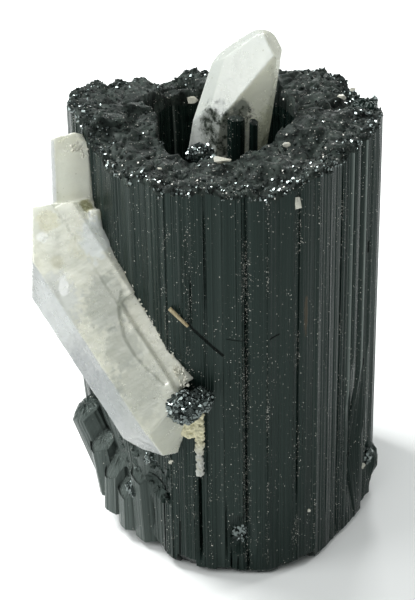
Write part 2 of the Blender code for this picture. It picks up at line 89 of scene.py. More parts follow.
# Long ribs and grooves of the wall: azimuth, half width in degrees, lowest and highest z, offset
WALL_RELIEF = (
    (258.2, 1.6, 34.0, 54.0, -0.45),
    (261.0, 2.2, 2.0, 17.0, -0.9),
    (264.6, 1.8, 0.0, 17.0, 0.45),
    (277.2, 1.7, 8.0, 60.0, -0.5),
    (294.5, 1.8, 10.0, 62.0, -0.4),
    (302.5, 2.0, 0.0, 62.0, 0.4),
    (317.0, 1.8, 0.0, 62.0, -0.5),
    (326.0, 3.0, 26.0, 62.0, 0.7),
    (332.0, 1.6, 20.0, 62.0, -0.8),
    (337.5, 2.2, 14.0, 62.0, 0.5),
    (341.5, 1.4, 16.0, 62.0, -0.6),
    (347.0, 2.4, 0.0, 62.0, 0.5),
    (12.0, 2.6, 0.0, 62.0, -1.0),
    (38.0, 2.4, 6.0, 62.0, 0.7),
    (66.0, 2.2, 0.0, 62.0, -0.9),
    (97.0, 2.8, 0.0, 62.0, -1.1),
    (116.0, 2.2, 0.0, 50.0, 0.8),
    (141.0, 2.4, 12.0, 62.0, -0.8),
    (158.0, 2.4, 0.0, 62.0, 0.7),
)
# Rough speckled bands of the wall: azimuth, half width in degrees, share of specks. The lines between
# them are shallower by CALM_SHARE
SPECK_BANDS = (
    (277.0, 2.0, 0.45), (284.0, 0.7, 0.4), (294.5, 1.6, 0.45), (258.5, 2.4, 0.3), (264.5, 1.2, 0.2),
    (302.5, 1.2, 0.25), (250.0, 3.0, 0.2), (318.0, 1.4, 0.25), (331.0, 2.0, 0.3), (341.0, 2.5, 0.3),
    (97.0, 3.0, 0.5), (12.0, 2.0, 0.4), (66.0, 2.0, 0.3), (141.0, 2.0, 0.3), (184.0, 2.0, 0.3),
    (208.0, 2.5, 0.3), (226.0, 2.0, 0.3),
)
CALM_SHARE = 0.4
# Paler ribs, painted highlights from 300 to 351 degrees and paler wear elsewhere: azimuth, half width in
# degrees, strength, lowest z
WORN_AND_HIGHLIT_RIBS = (
    (323.0, 0.9, 0.75, 20.0), (321.6, 0.3, 0.4, 24.0), (334.0, 0.4, 0.8, 22.0), (340.8, 0.4, 0.8, 24.0),
    (342.0, 1.8, 0.35, 9.0), (328.5, 3.0, 0.12, 20.0), (350.5, 1.6, 0.08, -5.0), (316.2, 0.25, 0.2, -5.0),
    (304.0, 0.25, 0.07, -5.0), (302.4, 0.25, 0.09, -5.0), (301.0, 0.2, 0.08, -5.0), (228.0, 3.0, 0.05, -5.0),
    (234.0, 1.2, 0.07, -5.0), (243.0, 1.4, 0.05, -5.0), (268.5, 2.0, 0.03, -5.0), (38.0, 1.0, 0.25, -5.0),
    (116.0, 1.0, 0.25, -5.0), (158.0, 1.2, 0.2, -5.0), (84.0, 2.0, 0.1, -5.0), (180.0, 2.5, 0.1, -5.0),
)
# Colour of the paler ribs and of the foot's painted sheen; on the ribs from 300 to 351 degrees it is painted
# highlight
WEAR_AND_SHEEN_COLOUR = (0.290, 0.330, 0.310, 1.0)
# Painted sheen on the paler left side of the foot: azimuth and half width in degrees, and its strength
FOOT_SHEEN = (214.0, 34.0)
FOOT_SHEEN_STRENGTH = 0.22
# The brown stain of the wall: place, reach, stretch
STAIN = ((10.0, -20.3, 39.8), 0.6, (2.0, 1.0, 0.17))
# The side of the rim with the most painted glints, as pale specks: azimuth, half width in degrees
PAINTED_GLINT_SIDE = (292.0, 85.0)
# Thin sharp grooves and ribs: azimuth, half width in degrees, lowest and highest z, offset
THIN_GROOVES = (
    (259.2, 0.4, 40.0, 46.6, -0.4),
    (264.0, 0.35, 42.4, 55.6, -0.3),
    (277.0, 0.5, 8.0, 42.5, -0.4),
    (284.0, 0.3, 18.0, 56.0, -0.05),
    (294.6, 0.4, 12.0, 58.0, -0.2),
    (308.5, 0.35, 6.0, 58.0, -0.18),
    (317.2, 0.4, 2.0, 58.0, -0.25),
    (261.0, 0.6, 3.0, 16.0, -0.6),
    (270.0, 0.35, 2.0, 12.0, -0.35),
    (332.2, 0.5, 18.0, 58.0, -0.5),
    (341.6, 0.4, 15.0, 58.0, -0.4),
    (246.5, 0.35, 1.0, 14.0, -0.4),
    (12.0, 0.6, 2.0, 58.0, -0.5),
    (66.0, 0.5, 2.0, 58.0, -0.5),
    (97.0, 0.6, 2.0, 58.0, -0.6),
    (141.0, 0.5, 12.0, 58.0, -0.5),
    (184.0, 0.4, 20.0, 57.0, -0.4),
    (208.0, 0.35, 22.0, 57.0, -0.3),
    (271.6, 0.35, 0.2, 4.0, -0.5),
    (274.0, 0.4, 0.2, 3.6, -0.6),
    (277.6, 0.35, 0.6, 4.4, -0.5),
    (323.0, 1.0, 22.0, 62.0, 0.4),
    (334.2, 0.6, 24.0, 62.0, 0.45),
    (325.4, 0.8, 7.0, 22.0, -1.0),
    (340.6, 0.6, 26.0, 62.0, 0.45),
)
# Broken hollows and knots of the wall: azimuth, z, half width in degrees, half height, depth
WALL_BREAKS = (
    (331.0, 13.0, 6.0, 11.0, -1.2),
    (350.0, 7.0, 4.5, 3.2, 1.2),
    (343.2, 9.6, 2.2, 1.6, -1.3),
    (275.0, 6.5, 5.5, 3.4, -1.0),
    (236.5, 6.5, 4.0, 3.0, -0.9),
    (244.0, 12.5, 6.0, 2.4, -0.8),
    (84.0, 14.0, 9.0, 9.0, -1.2),
    (132.0, 41.0, 8.0, 7.0, -0.9),
    (22.0, 9.0, 8.0, 6.0, -1.0),
    (202.0, 0.0, 46.0, 19.0, -2.7),
)
# Scratches and pits of the wall, painted nearly black as painted shade: azimuth and z of both ends, half
# width
MM_PER_DEGREE = 0.4
SHADED_WALL_MARKS = (
    (258.3, 39.3, 269.5, 35.0, 0.22),
    (337.6, 43.0, 337.6, 44.2, 0.42),
    (335.8, 25.6, 335.8, 26.4, 0.3),
    (343.0, 10.6, 343.6, 9.0, 0.55),
    (325.4, 20.5, 325.6, 9.0, 0.25),
    (325.6, 12.0, 328.0, 8.0, 0.22),
    (240.0, 13.2, 249.5, 11.4, 0.22),
    (284.8, 37.4, 288.0, 37.8, 0.13),
    (271.0, 37.4, 277.4, 37.1, 0.07),
    (253.5, 8.0, 253.0, 2.4, 0.16),
    (97.0, 30.0, 104.0, 27.0, 0.2),
)

# The top's large blocks, and the small broken ends that stand on them
BLOCK_RINGS = ((12.0, 11), (15.5, 15), (18.5, 19), (21.5, 24), (24.5, 26))
BLOCK_JITTER = 1.3
BLOCK_STEP = 0.75
BLOCK_TILT = 0.16
BLOCK_SEED = 5
SMALL_BLOCK_SEED = 21
SMALL_BLOCK_TILT = 0.2
# How far from the crack between two blocks they blend into each other
BLOCK_SOFTNESS = 1.3
SMALL_BLOCK_SOFTNESS = 0.7
PIT_SEED = 9
PITS = 200

# The hollow in the column's top
HOLLOW_RADII = (10.6, 10.5, 12.0, 14.3, 16.0, 15.2, 14.7, 15.0, 15.4, 13.6, 12.9, 10.4,
                8.6, 8.6, 9.7, 11.0, 12.2, 12.3, 10.4, 11.3, 11.2, 10.3, 10.5, 10.8)
HOLLOW_FLOOR = 36.0
HOLLOW_TAPER = 0.08
HOLLOW_RIB_SHARE = 0.6
HOLLOW_FLOOR_BUMPS = 1.4
# Mesh rings: heights down the hollow's wall, and shares of its radius over the floor
HOLLOW_LEVELS = np.concatenate([np.linspace(56.4, 47.0, 8), np.linspace(44.5, 37.0, 4)])
HOLLOW_FLOOR_SHARES = (0.9, 0.66, 0.42, 0.2)

# Small schorl crystals fused to the column: foot, tip, width, depth, roll in degrees, outward fall of the tip
FUSED_PRISMS = (
    ((1.0, -4.3, 34.0), (1.1, -4.0, 60.6), 2.5, 2.1, 0.0, 0.0),
    ((3.3, -4.4, 34.0), (3.4, -4.1, 60.2), 1.3, 1.5, 20.0, 0.3),
    ((-2.6, -11.0, 50.0), (-3.6, -9.6, 58.4), 3.8, 3.6, 15.0, 0.0),
    ((-15.4, -3.8, 3.6), (-20.3, -3.6, 16.6), 5.8, 5.4, 12.0, 0.8),
    ((-16.0, -7.0, 4.2), (-17.6, -7.0, 13.4), 5.2, 4.8, 40.0, 1.0),
    ((-15.2, -9.6, 2.8), (-15.2, -9.8, 12.2), 4.8, 4.6, 15.0, 1.5),
    ((-13.2, -12.4, 1.8), (-13.4, -12.6, 9.8), 4.4, 4.2, 55.0, 1.2),
    ((-10.6, -14.4, 1.2), (-11.4, -15.2, 14.6), 4.6, 4.0, 5.0, 1.6),
    ((-17.2, 1.4, 4.4), (-17.0, 1.8, 15.8), 6.4, 5.8, 25.0, 1.2),
    ((-16.6, 6.4, 3.2), (-17.2, 7.2, 22.0), 6.6, 6.0, 5.0, 1.0),
    ((18.8, 1.2, 22.0), (18.5, 1.2, 60.8), 3.8, 3.4, 12.0, 0.0),
    ((17.4, 13.4, 2.6), (17.0, 14.0, 29.0), 7.4, 6.4, 35.0, 1.1),
    ((-2.6, 18.2, 1.4), (-3.2, 17.8, 20.0), 8.0, 6.4, 8.0, 0.9),
    ((-16.2, 12.4, 2.4), (-17.2, 12.2, 35.0), 7.4, 6.8, 18.0, 1.2),
)
PRISM_TAPER = 0.94
PRISM_SIDE_POINTS = 8
# Rings of a small crystal: shares of its length below the tip, then share of its width and roughness for the
# domed tip
PRISM_RINGS = (0.0, 0.3, 0.6, 0.85)
TIP_RINGS = ((1.0, 0.03), (0.94, 0.05), (0.8, 0.1), (0.6, 0.12), (0.4, 0.12), (0.2, 0.12))
TIP_DOME = 0.13
# The first prisms in the list stand in the hollow, and their tips are broken
HOLLOW_PRISMS = 3

# Quartz in the hollow: a prism cut by its end faces, each a point and an outward direction
HOLLOW_QUARTZ_AXIS = ((-2.0, 1.6, 36.35), (4.6, 1.6, 80.0))
HOLLOW_QUARTZ_SIZE = (12.0, 8.0)
HOLLOW_QUARTZ_FACES = (
    ((0.0, 0.0, 36.6), (0.0, 0.0, -1.0)),
    ((-2.4, 2.0, 63.6), (-0.82, -0.38, 0.43)),
    ((0.88, -1.85, 63.23), (-0.50, -0.72, 0.48)),
    ((3.0, 1.5, 70.7), (-0.42, 0.10, 0.90)),
    ((5.0, 1.5, 71.1), (0.35, -0.10, 0.93)),
    ((6.8, 1.5, 69.0), (0.94, 0.05, 0.33)),
    ((6.9, 1.5, 65.5), (0.985, -0.10, -0.13)),
    ((4.6, -2.0, 69.2), (0.25, -0.85, 0.46)),
    ((3.0, 5.0, 68.0), (-0.10, 0.80, 0.58)),
    ((1.5, 3.5, 68.3), (-0.664, 0.042, 0.824)),
    ((3.1, 3.5, 69.64), (-0.45, 0.108, 0.95)),
    ((4.25, 3.5, 70.0), (-0.08, 0.16, 1.05)),
    ((5.45, 3.5, 69.7), (0.516, 0.093, 0.921)),
    ((6.38, 3.5, 68.57), (0.861, -0.071, 0.613)),
)

# Its tinted places: centre, reach, stretch, colour and strength, and the places with dark veins
SMOKY, CHALK = (0.17, 0.19, 0.165, 1.0), (0.78, 0.81, 0.79, 1.0)
HOLLOW_QUARTZ_TINTS = (
    ((-4.2, -1.5, 57.8), 1.6, (1.3, 0.6, 0.4), CHALK, 0.9),
    # Partly the crystal's own cream, partly painted light on the front face below the edge, which lies in
    # shade
    ((5.2, -2.0, 63.0), 4.0, (1.0, 0.6, 0.55), (0.88, 0.89, 0.76, 1.0), 0.8),
    ((5.8, -1.0, 55.6), 3.2, (1.2, 0.6, 0.5), (0.46, 0.48, 0.32, 1.0), 0.6),
    ((-0.8, -2.0, 58.0), 3.3, (1.0, 0.5, 0.8), SMOKY, 0.85),
    ((1.8, -2.6, 61.2), 1.1, (1.0, 0.5, 0.7), SMOKY, 0.8),
)
HOLLOW_QUARTZ_MURK = (
    ((-0.9, -2.0, 57.8), 3.0, (1.0, 0.5, 0.8)),
    ((2.4, -2.0, 60.0), 1.2, (1.0, 0.5, 0.8)),
)
# The faces of the hollow quartz towards this direction get painted shade
HOLLOW_QUARTZ_SHADED_SIDE = (-0.45, -0.40, 0.80)

# Quartz on the wall
SIDE_QUARTZ_AXIS = ((-27.4, -6.2, 49.6), (-3.5, -25.7, 19.0))
SIDE_QUARTZ_SIZE = (12.4, 9.6)
SIDE_QUARTZ_FACES = (
    ((-26.2, -9.0, 44.2), (-0.99, -0.10, 0.05)),
    ((-25.2, -11.1, 50.9), (-0.14, 0.44, 0.89)),
    ((-8.3, -23.3, 19.9), (-0.24, -0.16, -0.95)),
    ((-9.6, -24.2, 21.6), (-0.34, -0.72, -0.60)),
    ((-5.5, -22.0, 23.2), (0.99, -0.06, 0.06)),
    ((-7.0, -24.2, 26.4), (0.66, -0.70, -0.26)),
)
# Layers on its right: from and to along its axis, shift to the right, shift to the back, width, depth
SIDE_QUARTZ_LAYERS = (
    (4.0, 19.0, 2.2, -1.0, 13.2, 7.4),
    (14.0, 32.6, 2.9, -0.7, 10.8, 6.6),
)
SCOOP_CORNERS = ((17.6, 5.2), (19.4, 3.4), (21.2, 1.5), (23.4, 0.7),
                 (26.0, 0.6), (28.8, 1.0), (31.4, 2.8), (31.4, 5.2))
SCOOP_DEPTH = 0.26
SCOOP_WALL = 0.8
QUARTZ_FRONT = (0.0, -0.88, 0.47)
UPPER_QUARTZ_AXIS = ((-20.2, -8.0, 40.0), (-20.6, -3.6, 62.0))
UPPER_QUARTZ_SIZE = (9.0, 6.0)
FLAKE_AXIS = ((-17.2, -13.2, 41.6), (-17.6, -10.6, 50.2))
FLAKE_SIZE = (2.8, 2.8)
UPPER_QUARTZ_FACES = (
    ((-20.6, -7.0, 59.5), (-0.24, 0.55, 0.80)),
    ((-20.0, -7.0, 59.6), (0.66, 0.10, 0.74)),
    ((-23.2, -8.0, 50.0), (-0.98, -0.20, 0.02)),
)

# Its tinted places: centre, reach, stretch, colour and strength
CREAM, WHITE, HAZE = (0.70, 0.69, 0.52, 1.0), (0.90, 0.92, 0.90, 1.0), (0.34, 0.37, 0.33, 1.0)
OLIVE = (0.30, 0.29, 0.12, 1.0)
SIDE_QUARTZ_TINTS = (
    ((-22.5, -16.6, 38.5), 3.8, (1.0, 0.8, 0.7), (0.60, 0.63, 0.62, 1.0), 0.7),
    ((-15.8, -22.0, 28.4), 3.0, (1.0, 0.8, 0.7), (0.30, 0.33, 0.33, 1.0), 0.6),
    ((-23.6, -12.0, 49.1), 1.6, (1.0, 1.0, 1.0), CREAM, 0.75),
    ((-22.4, -15.0, 44.7), 1.0, (1.0, 1.0, 1.0), CREAM, 0.5),
    ((-21.5, -16.7, 41.9), 0.9, (1.4, 0.9, 0.6), WHITE, 0.95),
    ((-24.3, -13.3, 47.4), 0.8, (1.0, 1.0, 1.0), WHITE, 0.6),
    ((-16.0, -17.8, 40.0), 3.0, (1.0, 1.0, 0.6), HAZE, 0.5),
    ((-13.7, -20.8, 35.2), 2.6, (1.0, 1.0, 0.7), HAZE, 0.4),
    ((-18.5, -14.3, 46.8), 2.2, (1.0, 1.0, 1.0), CREAM, 0.35),
    ((-18.7, -19.2, 30.5), 3.0, (1.0, 0.8, 0.8), (0.30, 0.32, 0.33, 1.0), 0.6),
    ((-11.8, -24.0, 30.0), 3.4, (1.0, 1.0, 0.6), HAZE, 0.3),
    ((-17.4, -12.8, 46.2), 2.3, (1.0, 1.0, 0.5), (0.80, 0.85, 0.84, 1.0), 0.8),
    ((-18.6, -10.0, 50.5), 1.1, (1.0, 1.0, 1.0), OLIVE, 0.85),
    ((-19.8, -10.4, 51.7), 0.6, (0.6, 1.0, 2.0), OLIVE, 0.7),
)
# Lines of quartz crumbs on the long crystal: places along it and to its right, shift to the back, width and
# share of density
CRUMB_LINES = (
    (((9.0, 5.5), (13.5, 5.9), (18.5, 6.0)), -4.35, 0.9, 0.12),
    (((18.5, 5.9), (24.0, 5.8), (30.0, 5.6)), -4.1, 0.7, 0.4),
    (((30.0, 5.2), (33.0, 4.6)), -4.3, 1.2, 1.0),
)
# The same on the upright crystal: points, width, share
UPPER_CRUMB_LINE = (((-20.4, -10.6, 58.8), (-19.2, -9.8, 59.0), (-18.4, -9.6, 57.5)), 1.4, 0.8)
QUARTZ_CRUMB_SEED = 50

# Knob, crust and trims on the wall
KNOB_LOBES = (
    ((-5.7, -24.6, 28.4), (3.0, 2.8, 2.6)),
    ((-3.6, -24.2, 29.2), (1.9, 1.9, 1.7)),
)
# The knob's crystals stand on cores of this share of its lobes
KNOB_CORE = 0.72
KNOB_AZIMUTH = 257.0
# Small clusters of black crystals: azimuth, z, offset from the wall, half sizes round, out and up
WALL_CLUSTERS = (
    (274.9, 6.5, -0.8, (1.6, 1.0, 1.8)),
    (229.5, 9.2, 0.5, (1.1, 0.9, 1.2)),
    (240.5, 15.8, -0.5, (1.3, 0.7, 0.9)),
    (345.0, 8.6, 0.1, (0.7, 0.6, 1.3)),
)
CLUSTER_SEED = 11
# The lump in the hollow: place, half sizes, azimuth
HOLLOW_LUMP = ((-3.5, -9.9, 57.2), (1.7, 1.5, 1.8), 270.0)
HOLLOW_LUMP_SEED = 3
# Patches of broken black crumbs on the wall: azimuths, heights, offset, density share
CRUMB_FIELDS = (
    (230.0, 250.0, 10.5, 20.5, -0.3, 1.5),
    (219.0, 234.0, 4.0, 16.0, -0.2, 0.45),
    (323.0, 332.5, 8.0, 17.0, -0.5, 0.7),
    (76.0, 92.0, 7.0, 21.0, -0.8, 0.5),
)
CRUMB_CELLS = 24
CRUMB_SEED = 31
# Quartz chips on the top: place and size
CHIPS = (
    ((-4.9, 14.1, 55.8), 1.0),
    ((7.6, -9.4, 58.9), 0.65),
    ((15.8, 8.2, 58.5), 0.75),
    ((17.6, 10.9, 58.6), 0.55),
    ((-12.4, 8.8, 57.6), 0.4),
    ((-8.8, -15.6, 58.3), 0.35),
)
# Quartz chips on the wall: azimuth, z and size
WALL_CHIPS = (
    (293.6, 56.0, 1.0), (299.5, 9.0, 0.36), (250.6, 17.4, 0.5), (240.0, 15.4, 0.3), (236.5, 6.6, 0.32),
    (339.5, 8.0, 0.55), (330.0, 9.0, 0.3), (118.0, 22.0, 0.5), (63.0, 35.0, 0.4),
)
# Blobs of the crust's cream patch and of its drip: azimuths, heights, half size, number
CRUST_BLOBS = (
    ((255.4, 260.4), (22.4, 26.0), 0.5, 64),
    ((257.0, 261.0), (25.0, 27.6), 0.5, 28),
    ((260.1, 262.4), (20.0, 26.4), 0.45, 60),
    ((260.5, 261.9), (16.2, 20.5), 0.42, 40),
)
CRUST_SEED = 12
CRUST_MESH_STEP = 0.09
CRUST_GRAIN = 0.12
# The splinter: azimuth and z of its ends, offset from the wall, width and depth
NEEDLE_ENDS = ((252.0, 41.3), (258.5, 39.2))
NEEDLE_OFFSET = 0.42
NEEDLE_SIZE = (0.62, 0.5)
# The chip on the front of the rim
CHIP_AZIMUTH = 270.5
CHIP_RADIUS = 13.0
CHIP_RISE = 0.55
CHIP_SIZE = (1.25, 0.8, 0.62)
CHIP_SEED = 2
TOP_CHIP_SEED = 60
WALL_CHIP_SEED = 80

# The stage: floor, camera and the point that the lights aim at
FLOOR_REACH = 1500.0
CAMERA_PLACE = (-0.0027, -0.2249, 0.1507)
CAMERA_TURN = 62.0
LIGHT_AIM = (0.0, 0.0, 0.035)


# Sizes and colours that a user would change

class ColumnSettings(bpy.types.PropertyGroup):
    """Sizes and colours of the schorl column."""
    line_spacing: FloatProperty(name="Line spacing", default=0.36, min=0.2, max=2.0,
                                description="Spacing of the fine lines, as degrees of azimuth")
    line_depth: FloatProperty(name="Line depth", description="How far the fine lines stand in and out",
                              default=0.00007, unit="LENGTH", precision=6)
    small_blocks: IntProperty(name="Small blocks", description="Small broken ends on the top", default=300)
    small_block_step: FloatProperty(name="Small block step", description="Rise and fall of the small blocks",
                                    default=0.0002, unit="LENGTH", precision=6)
    seed: IntProperty(name="Seed", description="Seed of the fine lines", default=3)
    colour: FloatVectorProperty(name="Colour", description="Colour of the wall", subtype="COLOR", size=4,
                                default=(0.0035, 0.0085, 0.0070, 1.0), min=0.0, max=1.0)
    worn_colour: FloatVectorProperty(name="Worn colour", description="Colour of the paler lines",
                                     subtype="COLOR", size=4, default=(0.0120, 0.0210, 0.0180, 1.0),
                                     min=0.0, max=1.0)


class GrainSettings(bpy.types.PropertyGroup):
    """Sizes and numbers of the small crystals that grow in patches."""
    rim_density: FloatProperty(name="Rim grains", default=3.6e6, min=0.0,
                               description="Grains per square metre on the rim's outer band")
    grain_size: FloatProperty(name="Grain size", description="Half width of a rim grain", default=0.00018,
                              unit="LENGTH", precision=6)
    knob_crystal: FloatProperty(name="Knob crystal", description="Half width of the knob's crystals",
                                default=0.00032, unit="LENGTH", precision=6)
    crumb_block: FloatProperty(name="Broken crumbs", description="Half width of the broken black crumbs",
                               default=0.00046, unit="LENGTH", precision=6)
    crumb_size: FloatProperty(name="Crumb size", description="Half width of the quartz crumbs",
                              default=0.00013, unit="LENGTH", precision=6)
    seed: IntProperty(name="Seed", description="Seed of where the grains lie", default=7)


class QuartzSettings(bpy.types.PropertyGroup):
    """Edges and colours of the quartz."""
    mesh_step: FloatProperty(name="Mesh step", description="Size of the crystals' mesh faces",
                             default=0.00016, unit="LENGTH", precision=6)
    lumps: FloatProperty(name="Lumps", description="Height of the slow waves of the faces",
                         default=0.00007, unit="LENGTH", precision=6)
    clear_colour: FloatVectorProperty(name="Clear colour", description="Colour of the clearer quartz",
                                      subtype="COLOR", size=4, default=(0.72, 0.74, 0.65, 1.0),
                                      min=0.0, max=1.0)
    milky_colour: FloatVectorProperty(name="Milky colour", description="Colour of the milky quartz",
                                      subtype="COLOR", size=4, default=(0.86, 0.86, 0.74, 1.0),
                                      min=0.0, max=1.0)
    # Painted shade, in a cool tint, on the quartz faces that face down and to the left
    down_left_shade_colour: FloatVectorProperty(name="Cold colour", description="Colour of the pale lilac faces",
                                     subtype="COLOR", size=4, default=(0.36, 0.38, 0.40, 1.0),
                                     min=0.0, max=1.0)


class TrimSettings(bpy.types.PropertyGroup):
    """Colours of the crust and the splinter."""
    crust_colour: FloatVectorProperty(name="Crust colour", description="Colour of the crust's upper end",
                                      subtype="COLOR", size=4, default=(0.70, 0.66, 0.46, 1.0),
                                      min=0.0, max=1.0)
    drip_colour: FloatVectorProperty(name="Drip colour", description="Colour of the crust's lower end",
                                     subtype="COLOR", size=4, default=(0.42, 0.43, 0.40, 1.0),
                                     min=0.0, max=1.0)
    splinter_colour: FloatVectorProperty(name="Splinter colour", description="Colour of the splinter",
                                         subtype="COLOR", size=4, default=(0.20, 0.15, 0.07, 1.0),
                                         min=0.0, max=1.0)


class StageSettings(bpy.types.PropertyGroup):
    """Light, floor and camera."""
    floor_colour: FloatVectorProperty(name="Floor colour", description="Colour of the floor", subtype="COLOR",
                                      size=4, default=(0.92, 0.94, 0.935, 1.0), min=0.0, max=1.0)
    sky: FloatProperty(name="Surround", description="Strength of the white surround", default=0.25, min=0.0)
    key: FloatProperty(name="Key light", description="Power of the soft light from the upper left",
                       default=3.1, unit="POWER")
    glint: FloatProperty(name="Glint light", default=0.8, unit="POWER",
                         description="Power of the small lights that make the grains glitter")
    lens: FloatProperty(name="Lens", description="Focal length", default=108.0, subtype="DISTANCE_CAMERA")


# Column geometry

def round_curve(values, azimuth):
    """A smooth closed curve through values that stand at even azimuths."""
    values = np.asarray(values)
    place = (azimuth % 360.0) / 360.0 * len(values)
    first = np.floor(place).astype(int)
    t = place - first
    a, b, c, d = (values[(first + k) % len(values)] for k in (-1, 0, 1, 2))
    bend = 2 * a - 5 * b + 4 * c - d
    return 0.5 * (2 * b + (c - a) * t + bend * t * t + (3 * b - a - 3 * c + d) * t ** 3)


def azimuth_distance(first, second):
    """Degrees between azimuths, the short way round."""
    return np.abs((first - second + 180.0) % 360.0 - 180.0)


def tent(distance, half_width):
    """1 at no distance, falling in a straight line to 0 at the half width."""
    return np.maximum(0.0, 1.0 - distance / half_width)


def rib_edges():
    """Azimuth and offset of every rib's edge, with an edge on each side of each named rib or groove."""
    rng = random.Random(RIB_SEED)
    fixed = []
    for azimuth, half_width, *_ in WALL_RELIEF:
        fixed += [azimuth - half_width, azimuth, azimuth + half_width]
    widths = [rng.uniform(0.55, 1.45) for _ in range(RIBS)]
    azimuth = 0.0
    edges = [(place % 360.0, 0.0) for place in fixed]
    for width in widths:
        offset = RIB_SHARE * rng.uniform(-RIB_DEPTH, RIB_DEPTH)
        if all(azimuth_distance(azimuth, place) > RIB_CLEARANCE for place in fixed):
            edges.append((azimuth, offset))
        azimuth += 360.0 * width / sum(widths)
    return sorted(edges)


def fine_lines(spacing, seed):
    """Azimuth and rib offset of every fine line of the wall."""
    rng = random.Random(seed)
    edges = rib_edges()
    lines = []
    for (start, low), (end, high) in zip(edges, edges[1:] + [(edges[0][0] + 360.0, edges[0][1])]):
        count = max(1, round((end - start) / spacing))
        widths = [rng.uniform(0.45, 1.55) for _ in range(count)]
        place = start
        for width in widths:
            lines.append((place, low + (high - low) * (place - start) / (end - start)))
            place += (end - start) * width / sum(widths)
    places = np.array([line[0] for line in lines])
    offsets = np.array([line[1] for line in lines])
    extra = np.array([a + s * w for a, w, *_ in THIN_GROOVES for s in (-1.0, -0.35, 0.35, 1.0)]) % 360.0
    extra_offsets = np.interp(extra, places, offsets)
    keep = np.array([np.min(azimuth_distance(place, extra)) > 0.1 for place in places])
    places = np.concatenate([places[keep], extra])
    offsets = np.concatenate([offsets[keep], extra_offsets])
    order = np.argsort(places)
    return places[order], offsets[order]


def relief(azimuth, z):
    """How far the named ribs, grooves, breaks and knots move the wall outward."""
    offset = np.zeros(np.broadcast(azimuth, z).shape)
    for table, part in ((WALL_RELIEF, RELIEF_SHARE), (THIN_GROOVES, 1.0)):
        for centre, half_width, low, high, height in table:
            ends = np.clip((z - low) / 1.5, 0.0, 1.0) * np.clip((high - z) / 1.5, 0.0, 1.0)
            offset += part * height * ends * tent(azimuth_distance(azimuth, centre), half_width)
    for centre, level, half_width, half_height, depth in WALL_BREAKS:
        side = tent(azimuth_distance(azimuth, centre), half_width)
        offset += depth * np.minimum(1.0, 2.0 * side * tent(np.abs(z - level), half_height))
    return offset


def on_column(azimuth, radius, z):
    """Points at azimuths and radii about the column's leaning axis."""
    turn = np.radians(azimuth)
    x = radius * np.cos(turn) + COLUMN_LEAN * z / COLUMN_HEIGHT
    return np.stack(np.broadcast_arrays(x, radius * np.sin(turn), z), axis=-1).astype(float)


def wall_point(azimuth, offset, z):
    """Points of the wall."""
    return on_column(azimuth, round_curve(WALL_RADII, azimuth) + offset + relief(azimuth, z), z)


def block_centres():
    """Centre, height and slope of each large block of the top."""
    rng = random.Random(BLOCK_SEED)
    blocks = []
    for radius, count in BLOCK_RINGS:
        for k in range(count):
            turn = 2.0 * math.pi * k / count
            x = radius * math.cos(turn) + rng.uniform(-BLOCK_JITTER, BLOCK_JITTER)
            y = radius * math.sin(turn) + rng.uniform(-BLOCK_JITTER, BLOCK_JITTER)
            height = rng.uniform(-BLOCK_STEP, BLOCK_STEP)
            slopes = [rng.uniform(-BLOCK_TILT, BLOCK_TILT) for _ in range(2)]
            blocks.append((x, y, height, *slopes))
    return np.array(blocks)


def small_block_centres(count, step):
    """Centre, height and slope of the small broken ends of the top."""
    rng = np.random.default_rng(SMALL_BLOCK_SEED)
    radius = np.sqrt(rng.uniform(8.0 ** 2, 26.0 ** 2, count))
    turn = rng.uniform(0.0, 2.0 * math.pi, count)
    height = rng.uniform(-step, step, count)
    slopes = rng.uniform(-SMALL_BLOCK_TILT, SMALL_BLOCK_TILT, (2, count))
    return np.stack([radius * np.cos(turn), radius * np.sin(turn), height, slopes[0], slopes[1]], axis=1)


def block_height(blocks, points, soft):
    """Height of the rounded blocks under each point, and how near the crack to the next block is."""
    gaps = np.hypot(points[:, None, 0] - blocks[None, :, 0], points[:, None, 1] - blocks[None, :, 1])
    order = np.argpartition(gaps, 1, axis=1)[:, :2]
    pair = np.take_along_axis(gaps, order, axis=1)
    swap = pair[:, 0] > pair[:, 1]
    heights = []
    for chosen in (np.where(swap, order[:, 1], order[:, 0]), np.where(swap, order[:, 0], order[:, 1])):
        x, y, height, slope_x, slope_y = blocks[chosen].T
        heights.append(height + slope_x * (points[:, 0] - x) + slope_y * (points[:, 1] - y))
    crack = np.abs(pair[:, 0] - pair[:, 1])
    share = 0.5 * np.clip(1.0 - crack / soft, 0.0, 1.0) ** 1.5
    return heights[0] * (1.0 - share) + heights[1] * share, crack


def top_height(blocks, small, pits, points, azimuth, rng, roughness):
    """Height of the broken top at points: blocks, soft lumps, cracks, pits and grains."""
    large, gap = block_height(blocks, points, BLOCK_SOFTNESS)
    fine, crack = block_height(small, points, SMALL_BLOCK_SOFTNESS)
    dip = 0.14 * np.clip(1.0 - crack / 0.5, 0.0, 1.0) + 0.4 * np.clip(1.0 - gap / 0.5, 0.0, 1.0)
    lumps = np.array([noise.noise(Vector((x * 0.75, y * 0.75, 0.0))) for x, y in points[:, :2]])
    off_x, off_y = (points[:, None, axis] - pits[None, :, axis] for axis in (0, 1))
    near = np.hypot(off_x, off_y) / pits[None, :, 2]
    pit = 0.5 * np.clip(1.5 - near.min(axis=1), 0.0, 1.0)
    grain = rng.uniform(-roughness, roughness, len(points))
    return round_curve(RIM_HEIGHTS, azimuth) + large + fine + 0.3 * lumps - dip - pit + grain


def pit_places(count):
    """Place and radius of the small pits of the top."""
    rng = np.random.default_rng(PIT_SEED)
    radius = np.sqrt(rng.uniform(8.0 ** 2, 24.0 ** 2, count))
    turn = rng.uniform(0.0, 2.0 * math.pi, count)
    return np.stack([radius * np.cos(turn), radius * np.sin(turn), rng.uniform(0.12, 0.4, count)], axis=1)


